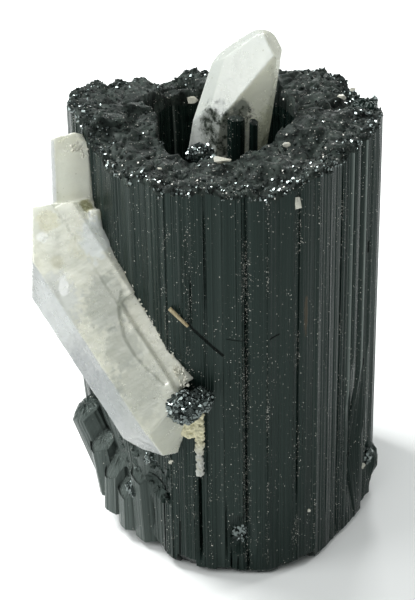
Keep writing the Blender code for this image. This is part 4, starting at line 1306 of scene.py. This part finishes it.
def wall_finish(settings):
    """Black glassy schorl with fine long lines, pale specks in bands, a brown stain, paler ribs that are
    painted highlights on the right, painted sheen on the foot's left, and painted shade in its scratches and
    pits.
    """
    name = "schorl wall"
    if name in bpy.data.materials:
        return bpy.data.materials[name]
    f = Finish(name, Metallic=0.0, IOR=1.6, Specular_IOR_Level=0.17, Specular_Tint=(0.8, 1.0, 0.93, 1.0))
    azimuth, height, _ = f.group(around_column(), {"Point": f.point})
    shade, lines = f.group(long_lines(), {"Azimuth": azimuth, "Height": height,
                                          "Fineness": 2.2, "Stretch": 0.03})
    colour = f.mix(f.math("MULTIPLY", shade, 0.7), tuple(settings.colour), tuple(settings.worn_colour))
    # Paler ribs: painted highlights on the ribs from 300 to 351 degrees, paler wear on the others
    worn = 0.0
    for middle, half_width, strength, lowest in WORN_AND_HIGHLIT_RIBS:
        mask = f.near_azimuth(azimuth, middle, half_width)
        strength = f.rescale(height, lowest - 3.0, lowest + 3.0, 0.0, strength)
        worn = f.math("MAXIMUM", f.math("MULTIPLY", mask, strength), worn)
    # Painted sheen on the left of the foot, which also thins the specks there
    left = f.rescale(f.near_azimuth(azimuth, *FOOT_SHEEN), 0.0, 0.5)
    left = f.math("MULTIPLY", left, f.rescale(height, 22.0, 14.0, 0.0, FOOT_SHEEN_STRENGTH))
    worn = f.math("MULTIPLY", f.math("MAXIMUM", left, worn), f.rescale(lines, 0.3, 0.55, 0.5, 1.0))
    colour = f.mix(worn, colour, WEAR_AND_SHEEN_COLOUR)
    density = 0.05
    for middle, half_width, share in SPECK_BANDS:
        mask = f.near_azimuth(azimuth, middle, half_width)
        density = f.math("MULTIPLY_ADD", mask, share, density)
    patches = f.rescale(f.noise(420.0, 4.0, 0.6, stretch=(1.0, 1.0, 0.3)), 0.42, 0.66, 0.1, 1.7)
    density = f.math("MULTIPLY", density, patches)
    density = f.math("MULTIPLY", density, f.rescale(left, 0.0, FOOT_SHEEN_STRENGTH, 1.0, 0.2))
    small, tone = f.group(specks(), {"Point": f.point, "Scale": 6500.0, "Share": density, "Size": 0.42})
    sparse = f.math("MULTIPLY", density, 0.45)
    large, _ = f.group(specks(), {"Point": f.point, "Scale": 4200.0, "Share": sparse, "Size": 0.3})
    mask = f.math("MAXIMUM", small, large)
    pale = f.mix(f.math("POWER", tone, 3.0), (0.03, 0.029, 0.025, 1.0), (0.85, 0.83, 0.76, 1.0))
    colour = f.mix(f.math("MULTIPLY", mask, 0.85), colour, pale)
    colour = f.mix(f.math("MULTIPLY", f.patch(*STAIN), 0.7), colour, (0.060, 0.038, 0.020, 1.0))
    # Scratches and pits painted nearly black: painted shade in them, and the last bump below dents them
    dents_and_shade = 0.0
    for start, low, end, high, half_width in SHADED_WALL_MARKS:
        run = Vector(((end - start) * MM_PER_DEGREE, high - low, 0.0))
        mark = f.group(line_mark(), {"Azimuth": azimuth, "Height": height, "Length": run.length,
                                     "From": (start * MM_PER_DEGREE, low, 0.0), "Along": run.normalized(),
                                     "Half width": half_width})[0]
        dents_and_shade = f.math("MAXIMUM", mark, dents_and_shade)
    colour = f.mix(f.math("MULTIPLY", dents_and_shade, 0.95), colour, (0.0008, 0.001, 0.001, 1.0))
    f.wire(colour, "Base Color")
    rough = f.math("MULTIPLY_ADD", dents_and_shade, 0.6, f.rescale(shade, 0.0, 1.0, 0.20, 0.38))
    f.wire(f.math("MULTIPLY_ADD", mask, 0.3, rough), "Roughness")
    fine = f.group(long_lines(), {"Azimuth": azimuth, "Height": height, "Fineness": 7.0, "Stretch": 0.06})[1]
    low = f.bump(lines, 0.35, 0.00012)
    high = f.bump(f.math("MULTIPLY_ADD", mask, 0.6, fine), 0.35, 0.00005, low)
    f.wire(f.bump(f.math("SUBTRACT", 1.0, dents_and_shade), 0.8, 0.0002, high), "Normal")
    return f.material


def broken_finish():
    """The broken top: rough black schorl with small glassy faces, painted glints as pale specks, and painted
    shade in its pores.
    """
    name = "schorl break"
    if name in bpy.data.materials:
        return bpy.data.materials[name]
    f = Finish(name, Metallic=0.0, IOR=1.63, Specular_IOR_Level=0.14, Specular_Tint=(0.9, 1.0, 0.95, 1.0))
    cloud = f.noise(420.0, 5.0, 0.65)
    colour = f.mix(f.rescale(cloud, 0.4, 0.66), (0.004, 0.007, 0.006, 1.0), (0.034, 0.045, 0.039, 1.0))
    # Pale specks that stand in for glints: painted glints
    mask, tone = f.group(specks(), {"Point": f.point, "Scale": 5000.0, "Share": 0.10, "Size": 0.35})
    pale = f.mix(f.math("POWER", tone, 2.0), (0.05, 0.045, 0.034, 1.0), (0.80, 0.78, 0.72, 1.0))
    colour = f.mix(f.math("MULTIPLY", mask, 0.8), colour, pale)
    # Larger painted glints, densest on the front of the rim
    azimuth, _, radius = f.group(around_column(), {"Point": f.point})
    front = f.near_azimuth(azimuth, *PAINTED_GLINT_SIDE)
    rim = f.rescale(radius, 14.0, 22.0, 0.01, 0.06)
    share = f.math("MULTIPLY", f.rescale(front, 0.0, 0.4, 0.15, 1.0), rim)
    large, _ = f.group(specks(), {"Point": f.point, "Scale": 2500.0, "Size": 0.34, "Share": share})
    colour = f.mix(large, colour, (0.84, 0.83, 0.77, 1.0))
    # Pores painted nearly black: painted shade in them, and dents in the bump
    pore_shade = f.rescale(f.noise(1700.0, 4.0, 0.7), 0.44, 0.36)
    f.wire(f.mix(pore_shade, colour, (0.001, 0.001, 0.001, 1.0)), "Base Color")
    f.wire(f.rescale(f.noise(900.0, 2.0), 0.35, 0.65, 0.45, 0.8), "Roughness")
    rough = f.bump(f.noise(2600.0, 4.0, 0.6), 0.6, 0.00012)
    f.wire(f.bump(f.math("SUBTRACT", 1.0, pore_shade), 0.9, 0.0002, rough), "Normal")
    return f.material


def grain_finish():
    """Small black glassy crystal faces."""
    name = "schorl grains"
    if name in bpy.data.materials:
        return bpy.data.materials[name]
    f = Finish(name, Metallic=0.0, IOR=1.8, Specular_IOR_Level=0.9, Specular_Tint=(0.85, 1.0, 0.97, 1.0))
    tone = f.noise(900.0, 2.0)
    colour = f.mix(f.rescale(tone, 0.35, 0.7), (0.001, 0.0014, 0.0014, 1.0), (0.006, 0.008, 0.0075, 1.0))
    f.wire(colour, "Base Color")
    f.wire(f.rescale(f.noise(500.0, 1.0), 0.3, 0.7, 0.05, 0.18), "Roughness")
    f.wire(f.bump(f.noise(6000.0, 2.0), 0.15, 0.00004), "Normal")
    return f.material


def quartz_finish(name, settings, transmission, tints, murk=(), shaded_side=None):
    """Milky quartz with clouds, flecks and tints, dark veins in the murk, painted shade on the faces that
    face down and to the left, and painted shade on the faces towards a shaded side if one is given.
    """
    if name in bpy.data.materials:
        return bpy.data.materials[name]
    f = Finish(name, Metallic=0.0, IOR=1.544, Transmission_Weight=transmission, Subsurface_Weight=0.35,
               Subsurface_Scale=0.0012, Subsurface_Radius=(1.0, 1.0, 0.9))
    cloud = f.rescale(f.noise(190.0, 6.0, 0.6), 0.3, 0.7)
    colour = f.mix(cloud, tuple(settings.clear_colour), tuple(settings.milky_colour))
    # Painted shade on the faces that face down and to the left
    down_left_shade = f.facing((-0.75, -0.45, -0.45), 0.5, 0.8)
    colour = f.mix(f.math("MULTIPLY", down_left_shade, 0.8), colour, tuple(settings.down_left_shade_colour))
    veils = f.rescale(f.noise(330.0, 3.0, 0.5, stretch=(1.0, 1.0, 0.45)), 0.52, 0.72)
    colour = f.mix(f.math("MULTIPLY", veils, 0.22), colour, (0.80, 0.82, 0.77, 1.0))
    for *place, tint, strength in tints:
        colour = f.mix(f.math("MULTIPLY", f.patch(*place), strength), colour, tint)
    # Painted shade on the faces that face the shaded side
    if shaded_side:
        side_shade = f.math("MULTIPLY", f.facing(shaded_side, 0.5, 0.85), 0.8)
        colour = f.mix(side_shade, colour, (0.56, 0.60, 0.57, 1.0))
    for place in murk:
        veins = f.rescale(f.noise(850.0, 5.0, 0.65), 0.44, 0.58)
        colour = f.mix(f.math("MULTIPLY", f.patch(*place), veins), colour, (0.030, 0.038, 0.030, 1.0))
    mask, tone = f.group(specks(), {"Point": f.point, "Scale": 2400.0, "Share": 0.07, "Size": 0.3})
    fleck = f.mix(tone, (0.22, 0.21, 0.13, 1.0), (0.90, 0.90, 0.84, 1.0))
    f.wire(f.mix(f.math("MULTIPLY", mask, 0.45), colour, fleck), "Base Color")
    f.wire(f.rescale(f.noise(300.0, 5.0, 0.7), 0.3, 0.7, 0.10, 0.36), "Roughness")
    waves = f.noise(700.0, 3.0, 0.5)
    grain = f.noise(3200.0, 3.0, 0.6)
    f.wire(f.bump(grain, 0.18, 0.00006, f.bump(waves, 0.25, 0.0002)), "Normal")
    return f.material


def crumb_finish():
    """White and cream quartz crumbs."""
    name = "quartz crumbs"
    if name in bpy.data.materials:
        return bpy.data.materials[name]
    f = Finish(name, Metallic=0.0, IOR=1.544, Transmission_Weight=0.2)
    f.wire(f.mix(f.noise(600.0, 2.0), (0.64, 0.65, 0.61, 1.0), (0.58, 0.56, 0.43, 1.0)), "Base Color")
    f.wire(f.rescale(f.noise(1500.0, 1.0), 0.3, 0.7, 0.15, 0.45), "Roughness")
    f.wire(f.bump(f.noise(3000.0, 2.0), 0.2, 0.00005), "Normal")
    return f.material


def crust_finish(settings):
    """Dull cream crust that turns grey-white down the drip."""
    f = Finish("pale crust", Metallic=0.0)
    height = put(f.tree, "ShaderNodeSeparateXYZ", {0: f.point}).outputs[2]
    lower = f.rescale(height, 0.0225, 0.0195)
    colour = f.mix(lower, tuple(settings.crust_colour), tuple(settings.drip_colour))
    grain = f.noise(1300.0, 4.0, 0.7)
    colour = f.mix(f.rescale(grain, 0.5, 0.75), colour, (0.34, 0.33, 0.22, 1.0))
    f.wire(colour, "Base Color")
    f.wire(f.rescale(grain, 0.3, 0.7, 0.6, 0.9), "Roughness")
    f.wire(f.bump(grain, 0.8, 0.0002), "Normal")
    return f.material


def splinter_finish(settings):
    """Brown splinter with a fibrous grain."""
    f = Finish("brown splinter", Metallic=0.0)
    fibres = f.noise(2600.0, 3.0, 0.6, stretch=(1.0, 1.0, 0.3))
    f.wire(f.mix(f.rescale(fibres, 0.35, 0.65), tuple(settings.splinter_colour), (0.44, 0.38, 0.24, 1.0)),
           "Base Color")
    f.wire(f.rescale(fibres, 0.3, 0.7, 0.4, 0.7), "Roughness")
    f.wire(f.bump(fibres, 0.5, 0.00008), "Normal")
    return f.material


def floor_finish(settings):
    """Plain pale paper."""
    f = Finish("pale floor", Metallic=0.0, Roughness=0.9)
    f.wire(f.mix(f.noise(6.0, 2.0), tuple(settings.floor_colour), (0.93, 0.95, 0.945, 1.0)), "Base Color")
    f.wire(f.bump(f.noise(900.0, 2.0), 0.02, 0.0001), "Normal")
    return f.material


# Operators

class SPECIMEN_OT_column(bpy.types.Operator):
    """Build the striated column with its blocky top, its hollow and the crystals fused to it"""
    bl_idname = "specimen.column"
    bl_label = "Schorl column"

    def execute(self, context):
        settings = context.scene.specimen_column
        column = ColumnRings(settings)
        wall, top, hollow = column.wall(), column.top(), column.hollow()
        rings = wall + top + hollow
        count = len(column.azimuth)
        faces = ring_faces(len(rings), count)
        slots = [0] * (len(wall) * count) + [1] * ((len(top) + 1) * count)
        slots += [0] * (len(faces) - len(slots))
        points = np.concatenate(rings)
        base = on_column(0.0, 0.0, 0.0)
        floor = on_column(0.0, 0.0, HOLLOW_FLOOR - HOLLOW_FLOOR_BUMPS)
        points = np.concatenate([points, [base, floor]])
        last = (len(rings) - 1) * count
        for k in range(count):
            n = (k + 1) % count
            faces.append((len(points) - 2, n, k))
            faces.append((last + k, last + n, len(points) - 1))
        slots += [1, 0] * count
        rng = np.random.default_rng(settings.seed + 1)
        for number, prism in enumerate(FUSED_PRISMS):
            more, ties, on_tip = striated_prism(prism, rng)
            faces += [tuple(len(points) + k for k in tie) for tie in ties]
            slots += [int(tip and number < HOLLOW_PRISMS) for tip in on_tip]
            points = np.concatenate([points, np.array([tuple(point) for point in more])])
        mesh = make_mesh("column", points, faces, [wall_finish(settings), broken_finish()], slots)
        mesh.polygons.foreach_set("use_smooth", [slot == 1 for slot in slots])
        hand_over(place("column", mesh), "schorl_column")
        return {"FINISHED"}


class SPECIMEN_OT_rim_grains(bpy.types.Operator):
    """Grow the small glittering crystals on the column's rim"""
    bl_idname = "specimen.rim_grains"
    bl_label = "Rim grains"

    def execute(self, context):
        settings = context.scene.specimen_grains
        column = ColumnRings(context.scene.specimen_column)
        column.wall()
        rings = column.top()
        count = len(column.azimuth)
        points = np.concatenate(rings)
        faces = ring_faces(len(rings), count)
        shares = np.repeat(np.linspace(0.0, 1.0, len(rings)), count)
        clumps = np.sin(points[:, 0] * 1.9) * np.sin(points[:, 1] * 2.3 + 1.0)
        growth = np.where(shares < 0.22, 1.4, np.where(shares < 0.42, 0.6, 0.12)) * (0.55 + 0.45 * clumps)
        grains = grow("rim_grains", points, faces, growth, {
            "Density": settings.rim_density, "Half width": settings.grain_size,
            "Length": 1.5 * settings.grain_size, "Spread": 0.7, "Tilt": 0.9, "Seed": settings.seed,
            "Material": grain_finish()})
        hand_over(grains)
        return {"FINISHED"}


class SPECIMEN_OT_hollow_quartz(bpy.types.Operator):
    """Build the quartz crystal that leans in the hollow"""
    bl_idname = "specimen.hollow_quartz"
    bl_label = "Quartz in the hollow"

    def execute(self, context):
        settings = context.scene.specimen_quartz
        finish = quartz_finish("hollow quartz", settings, 0.25, HOLLOW_QUARTZ_TINTS, HOLLOW_QUARTZ_MURK,
                               HOLLOW_QUARTZ_SHADED_SIDE)
        crystal = prism_shape(*HOLLOW_QUARTZ_AXIS, *HOLLOW_QUARTZ_SIZE, front=(0.15, -1.0, 0.0))
        cut_faces(crystal, HOLLOW_QUARTZ_FACES)
        thing = shape_object("hollow_crystal", crystal, finish)
        grown_surface(thing, settings.mesh_step, 0.6 * settings.lumps, HOLLOW_QUARTZ_AXIS)
        hand_over(thing, "hollow_quartz")
        return {"FINISHED"}


class SPECIMEN_OT_side_quartz(bpy.types.Operator):
    """Build the quartz crystals grown together on the wall's left"""
    bl_idname = "specimen.side_quartz"
    bl_label = "Quartz on the wall"

    def execute(self, context):
        settings = context.scene.specimen_quartz
        finish = quartz_finish("side quartz", settings, 0.3, SIDE_QUARTZ_TINTS)
        surface = -0.5 * SIDE_QUARTZ_SIZE[1]
        thing = shape_object("wall_crystals", cut_faces(
            prism_shape(*SIDE_QUARTZ_AXIS, *SIDE_QUARTZ_SIZE), SIDE_QUARTZ_FACES), finish)
        added = []
        for start, end, right, back, width, depth in SIDE_QUARTZ_LAYERS:
            ends = (on_long_quartz(start, right, back), on_long_quartz(end, right, back))
            layer = cut_faces(prism_shape(*ends, width, depth), SIDE_QUARTZ_FACES[:2])
            added.append(shape_object("layer", layer))
        upper = prism_shape(*UPPER_QUARTZ_AXIS, *UPPER_QUARTZ_SIZE, front=(0.0, -1.0, 0.0))
        added.append(shape_object("upper", cut_faces(upper, UPPER_QUARTZ_FACES)))
        added.append(shape_object("flake", prism_shape(*FLAKE_AXIS, *FLAKE_SIZE, taper=0.6)))
        middle = sum(right for _, right in SCOOP_CORNERS) / len(SCOOP_CORNERS)
        floor, lid = [], []
        for along, right in SCOOP_CORNERS:
            inward = SCOOP_WALL if right < middle else -0.6 * SCOOP_WALL
            floor.append(on_long_quartz(along, right + inward, surface + SCOOP_DEPTH))
            lid.append(on_long_quartz(along, right, surface - 1.0))
        scoop = shape_object("scoop", loft_shape(floor, lid))
        join_and_cut(thing, added, (scoop,))
        grown_surface(thing, settings.mesh_step, settings.lumps, SIDE_QUARTZ_AXIS)
        hand_over(thing, "side_quartz")
        return {"FINISHED"}


class SPECIMEN_OT_knob(bpy.types.Operator):
    """Grow the knob of small black crystals below the long quartz"""
    bl_idname = "specimen.knob"
    bl_label = "Schorl knob"

    def execute(self, context):
        settings = context.scene.specimen_grains
        pieces = []
        for k, (centre, radii) in enumerate(KNOB_LOBES):
            core = [KNOB_CORE * radius for radius in radii]
            pieces += cluster("crystals", centre, core, KNOB_AZIMUTH, {
                "Density": 1.0e7, "Half width": settings.knob_crystal, "Length": 1.7 * settings.knob_crystal,
                "Spread": 0.5, "Tilt": 1.1, "Seed": settings.seed + k, "Material": grain_finish()})
        hand_over(join_pieces("knob", pieces), "schorl_knob")
        return {"FINISHED"}


class SPECIMEN_OT_clusters(bpy.types.Operator):
    """Grow the small clusters and the broken crumbs of schorl on the wall and in the hollow"""
    bl_idname = "specimen.clusters"
    bl_label = "Schorl clusters"

    def execute(self, context):
        settings = context.scene.specimen_grains
        width = settings.knob_crystal
        values = {"Density": 6.0e6, "Half width": 0.95 * width, "Length": 1.4 * width, "Spread": 0.45,
                  "Tilt": 0.8, "Material": grain_finish()}
        pieces = cluster("lump", *HOLLOW_LUMP, values | {"Seed": HOLLOW_LUMP_SEED})
        for k, (azimuth, z, offset, radii) in enumerate(WALL_CLUSTERS):
            centre = wall_point(np.array(azimuth), offset, np.array(z))
            pieces += cluster("cluster", centre, radii, azimuth, values | {"Seed": CLUSTER_SEED + k})
        for k, (start, end, low, high, offset, share) in enumerate(CRUMB_FIELDS):
            count = CRUMB_CELLS + 1
            az, z = np.meshgrid(np.linspace(start, end, count), np.linspace(low, high, count))
            points = wall_point(az, offset, z).reshape(-1, 3)
            corners = [count * r + c for r in range(CRUMB_CELLS) for c in range(CRUMB_CELLS)]
            faces = [(corner, corner + 1, corner + count + 1, corner + count) for corner in corners]
            clumps = np.array([noise.noise(Vector(point) * 0.5) for point in points])
            growth = share * np.clip(0.2 + 3.0 * clumps, 0.0, 1.0)
            pieces.append(grow("crumbs", points, faces, growth, {
                "Density": 2.6e6, "Half width": settings.crumb_block, "Length": 1.9 * settings.crumb_block,
                "Spread": 0.6, "Tilt": 1.3, "Seed": CRUMB_SEED + k,
                "Material": wall_finish(context.scene.specimen_column)}))
        hand_over(join_pieces("clusters", pieces))
        return {"FINISHED"}


class SPECIMEN_OT_crumbs(bpy.types.Operator):
    """Grow the quartz crumbs along the crystals on the wall"""
    bl_idname = "specimen.crumbs"
    bl_label = "Quartz crumbs"

    def execute(self, context):
        settings = context.scene.specimen_grains
        front = on_long_quartz(0.0, 0.0, -1.0) - on_long_quartz(0.0, 0.0, 0.0)
        lines = []
        for places, back, width, share in CRUMB_LINES:
            lines.append(([on_long_quartz(along, right, back) for along, right in places], width, share))
        lines.append(UPPER_CRUMB_LINE)
        pieces = []
        for k, (line, width, share) in enumerate(lines):
            points, faces = strip(line, width, front)
            pieces.append(grow("quartz_crumbs", points, faces, np.full(len(points), share), {
                "Density": 1.6e7, "Half width": settings.crumb_size, "Length": 1.6 * settings.crumb_size,
                "Spread": 0.75, "Tilt": 1.2, "Seed": QUARTZ_CRUMB_SEED + k, "Material": crumb_finish()}))
        hand_over(join_pieces("quartz_crumbs", pieces))
        return {"FINISHED"}


class SPECIMEN_OT_crust(bpy.types.Operator):
    """Build the pale crust below the knob, which ends in a drip"""
    bl_idname = "specimen.crust"
    bl_label = "Pale crust"

    def execute(self, context):
        rng = random.Random(CRUST_SEED)
        bm = bmesh.new()
        for azimuths, heights, size, number in CRUST_BLOBS:
            for k in range(number):
                z = heights[0] + (heights[1] - heights[0]) * (k + 0.5) / number
                azimuth = rng.uniform(*azimuths)
                radius = size * rng.uniform(0.55, 1.0)
                centre = Vector(wall_point(np.array(azimuth), 0.25 * radius, np.array(z)))
                blob = bmesh.ops.create_icosphere(bm, subdivisions=2, radius=radius)
                bmesh.ops.translate(bm, verts=blob["verts"], vec=centre)
        thing = shape_object("crust", bm, crust_finish(context.scene.specimen_trim))
        cells = thing.modifiers.new("Joined", "REMESH")
        cells.mode = "VOXEL"
        cells.voxel_size = CRUST_MESH_STEP * MM
        cells.use_smooth_shade = True
        finish_modifiers(thing)
        for vertex in thing.data.vertices:
            rise = noise.noise(vertex.co / MM * 3.0) + 0.6 * noise.noise(vertex.co / MM * 6.5)
            vertex.co += vertex.normal * CRUST_GRAIN * MM * rise
        hand_over(thing, "pale_crust")
        return {"FINISHED"}


class SPECIMEN_OT_trims(bpy.types.Operator):
    """Build the brown splinter and the quartz chips on the rim"""
    bl_idname = "specimen.trims"
    bl_label = "Splinter and chips"

    def execute(self, context):
        ends = []
        for azimuth, z in NEEDLE_ENDS:
            radius = round_curve(WALL_RADII, np.array(azimuth)) + NEEDLE_OFFSET
            ends.append(Vector(on_column(azimuth, radius, z)))
        splinter = prism_shape(*ends, *NEEDLE_SIZE, front=(-0.3, -0.9, 0.2), taper=0.75)
        thing = shape_object("splinter", splinter, splinter_finish(context.scene.specimen_trim))
        join_and_cut(thing, (), (), 0.00006)
        hand_over(thing, "brown_needle")
        under = on_column(CHIP_AZIMUTH, CHIP_RADIUS, COLUMN_HEIGHT).reshape(1, 3)
        rise = block_height(block_centres(), under, BLOCK_SOFTNESS)[0][0] + CHIP_RISE
        height = float(round_curve(RIM_HEIGHTS, np.array(CHIP_AZIMUTH)) + rise)
        centre = (under[0][0], under[0][1], height)
        hand_over(chip(centre, CHIP_SIZE, CHIP_SEED, crumb_finish()), "rim_quartz_chip")
        chips = []
        for k, (centre, size) in enumerate(CHIPS):
            half_sizes = (size, 0.7 * size, 0.6 * size)
            chips.append(chip(centre, half_sizes, TOP_CHIP_SEED + k, crumb_finish()))
        for k, (azimuth, z, size) in enumerate(WALL_CHIPS):
            centre = wall_point(np.array(azimuth), 0.05, np.array(z))
            half_sizes = (0.8 * size, 0.6 * size, size)
            chips.append(chip(centre, half_sizes, WALL_CHIP_SEED + k, crumb_finish()))
        hand_over(join_pieces("chips", chips))
        return {"FINISHED"}


class SPECIMEN_OT_stage(bpy.types.Operator):
    """Set up the pale floor, the soft light and the camera"""
    bl_idname = "specimen.stage"
    bl_label = "Stage"

    def execute(self, context):
        settings = context.scene.specimen_stage
        scene = context.scene
        corners = [(x * FLOOR_REACH, y * FLOOR_REACH, 0.0) for x, y in ((-1, -1), (1, -1), (1, 1), (-1, 1))]
        floor = place("floor", make_mesh("floor", corners, [(0, 1, 2, 3)], [floor_finish(settings)]))
        world = bpy.data.worlds.new("white surround")
        scene.world = world
        world.use_nodes = True
        backdrop = world.node_tree.nodes["Background"]
        backdrop.inputs["Color"].default_value = (0.94, 1.0, 0.975, 1.0)
        backdrop.inputs["Strength"].default_value = settings.sky
        lights = (
            ("soft key", settings.key, 0.22, (-0.29, 0.15, 0.42)),
            ("soft side", 0.3 * settings.key, 0.26, (-0.42, -0.16, 0.24)),
            ("soft front", 0.27 * settings.key, 0.34, (-0.10, -0.34, 0.48)),
            ("back glint", settings.glint, 0.10, (0.06, 0.42, 0.30)),
            ("right glint", 0.6 * settings.glint, 0.06, (0.32, 0.16, 0.26)),
        )
        for name, power, size, at in lights:
            data = bpy.data.lights.new(name, "AREA")
            data.energy = power
            data.size = size
            lamp = bpy.data.objects.new(name, data)
            lamp.location = at
            lamp.rotation_euler = (Vector(LIGHT_AIM) - Vector(at)).to_track_quat("-Z", "Y").to_euler()
            scene.collection.objects.link(lamp)
        data = bpy.data.cameras.new("camera")
        data.lens = settings.lens
        data.sensor_width = 36.0
        data.clip_start = 0.01
        camera = bpy.data.objects.new("camera", data)
        camera.location = CAMERA_PLACE
        camera.rotation_euler = (math.radians(CAMERA_TURN), 0.0, 0.0)
        scene.collection.objects.link(camera)
        scene.camera = camera
        scene.view_settings.view_transform = "Standard"
        return {"FINISHED"}


STEPS = (SPECIMEN_OT_column, SPECIMEN_OT_rim_grains, SPECIMEN_OT_hollow_quartz, SPECIMEN_OT_side_quartz,
         SPECIMEN_OT_knob, SPECIMEN_OT_clusters, SPECIMEN_OT_crumbs, SPECIMEN_OT_crust, SPECIMEN_OT_trims,
         SPECIMEN_OT_stage)
SETTINGS = (("specimen_column", ColumnSettings), ("specimen_grains", GrainSettings),
            ("specimen_quartz", QuartzSettings), ("specimen_trim", TrimSettings),
            ("specimen_stage", StageSettings))


class SPECIMEN_PT_steps(bpy.types.Panel):
    """Lists the settings and the steps that build the specimen"""
    bl_label = "Quartz with schorl"
    bl_idname = "SPECIMEN_PT_steps"
    bl_space_type = "VIEW_3D"
    bl_region_type = "UI"
    bl_category = "Specimen"

    def draw(self, context):
        for name, group in SETTINGS:
            box = self.layout.box()
            for key in group.__annotations__:
                box.prop(getattr(context.scene, name), key)
        for step in STEPS:
            self.layout.operator(step.bl_idname)


def register():
    for name, group in SETTINGS:
        bpy.utils.register_class(group)
        setattr(bpy.types.Scene, name, PointerProperty(type=group))
    for item in STEPS + (SPECIMEN_PT_steps,):
        bpy.utils.register_class(item)


def unregister():
    for item in reversed(STEPS + (SPECIMEN_PT_steps,)):
        bpy.utils.unregister_class(item)
    for name, group in reversed(SETTINGS):
        delattr(bpy.types.Scene, name)
        bpy.utils.unregister_class(group)


def main():
    """Build every piece and the stage."""
    register()
    for step in STEPS:
        family, action = step.bl_idname.split(".")
        getattr(getattr(bpy.ops, family), action)()


if __name__ == "__main__":
    main()
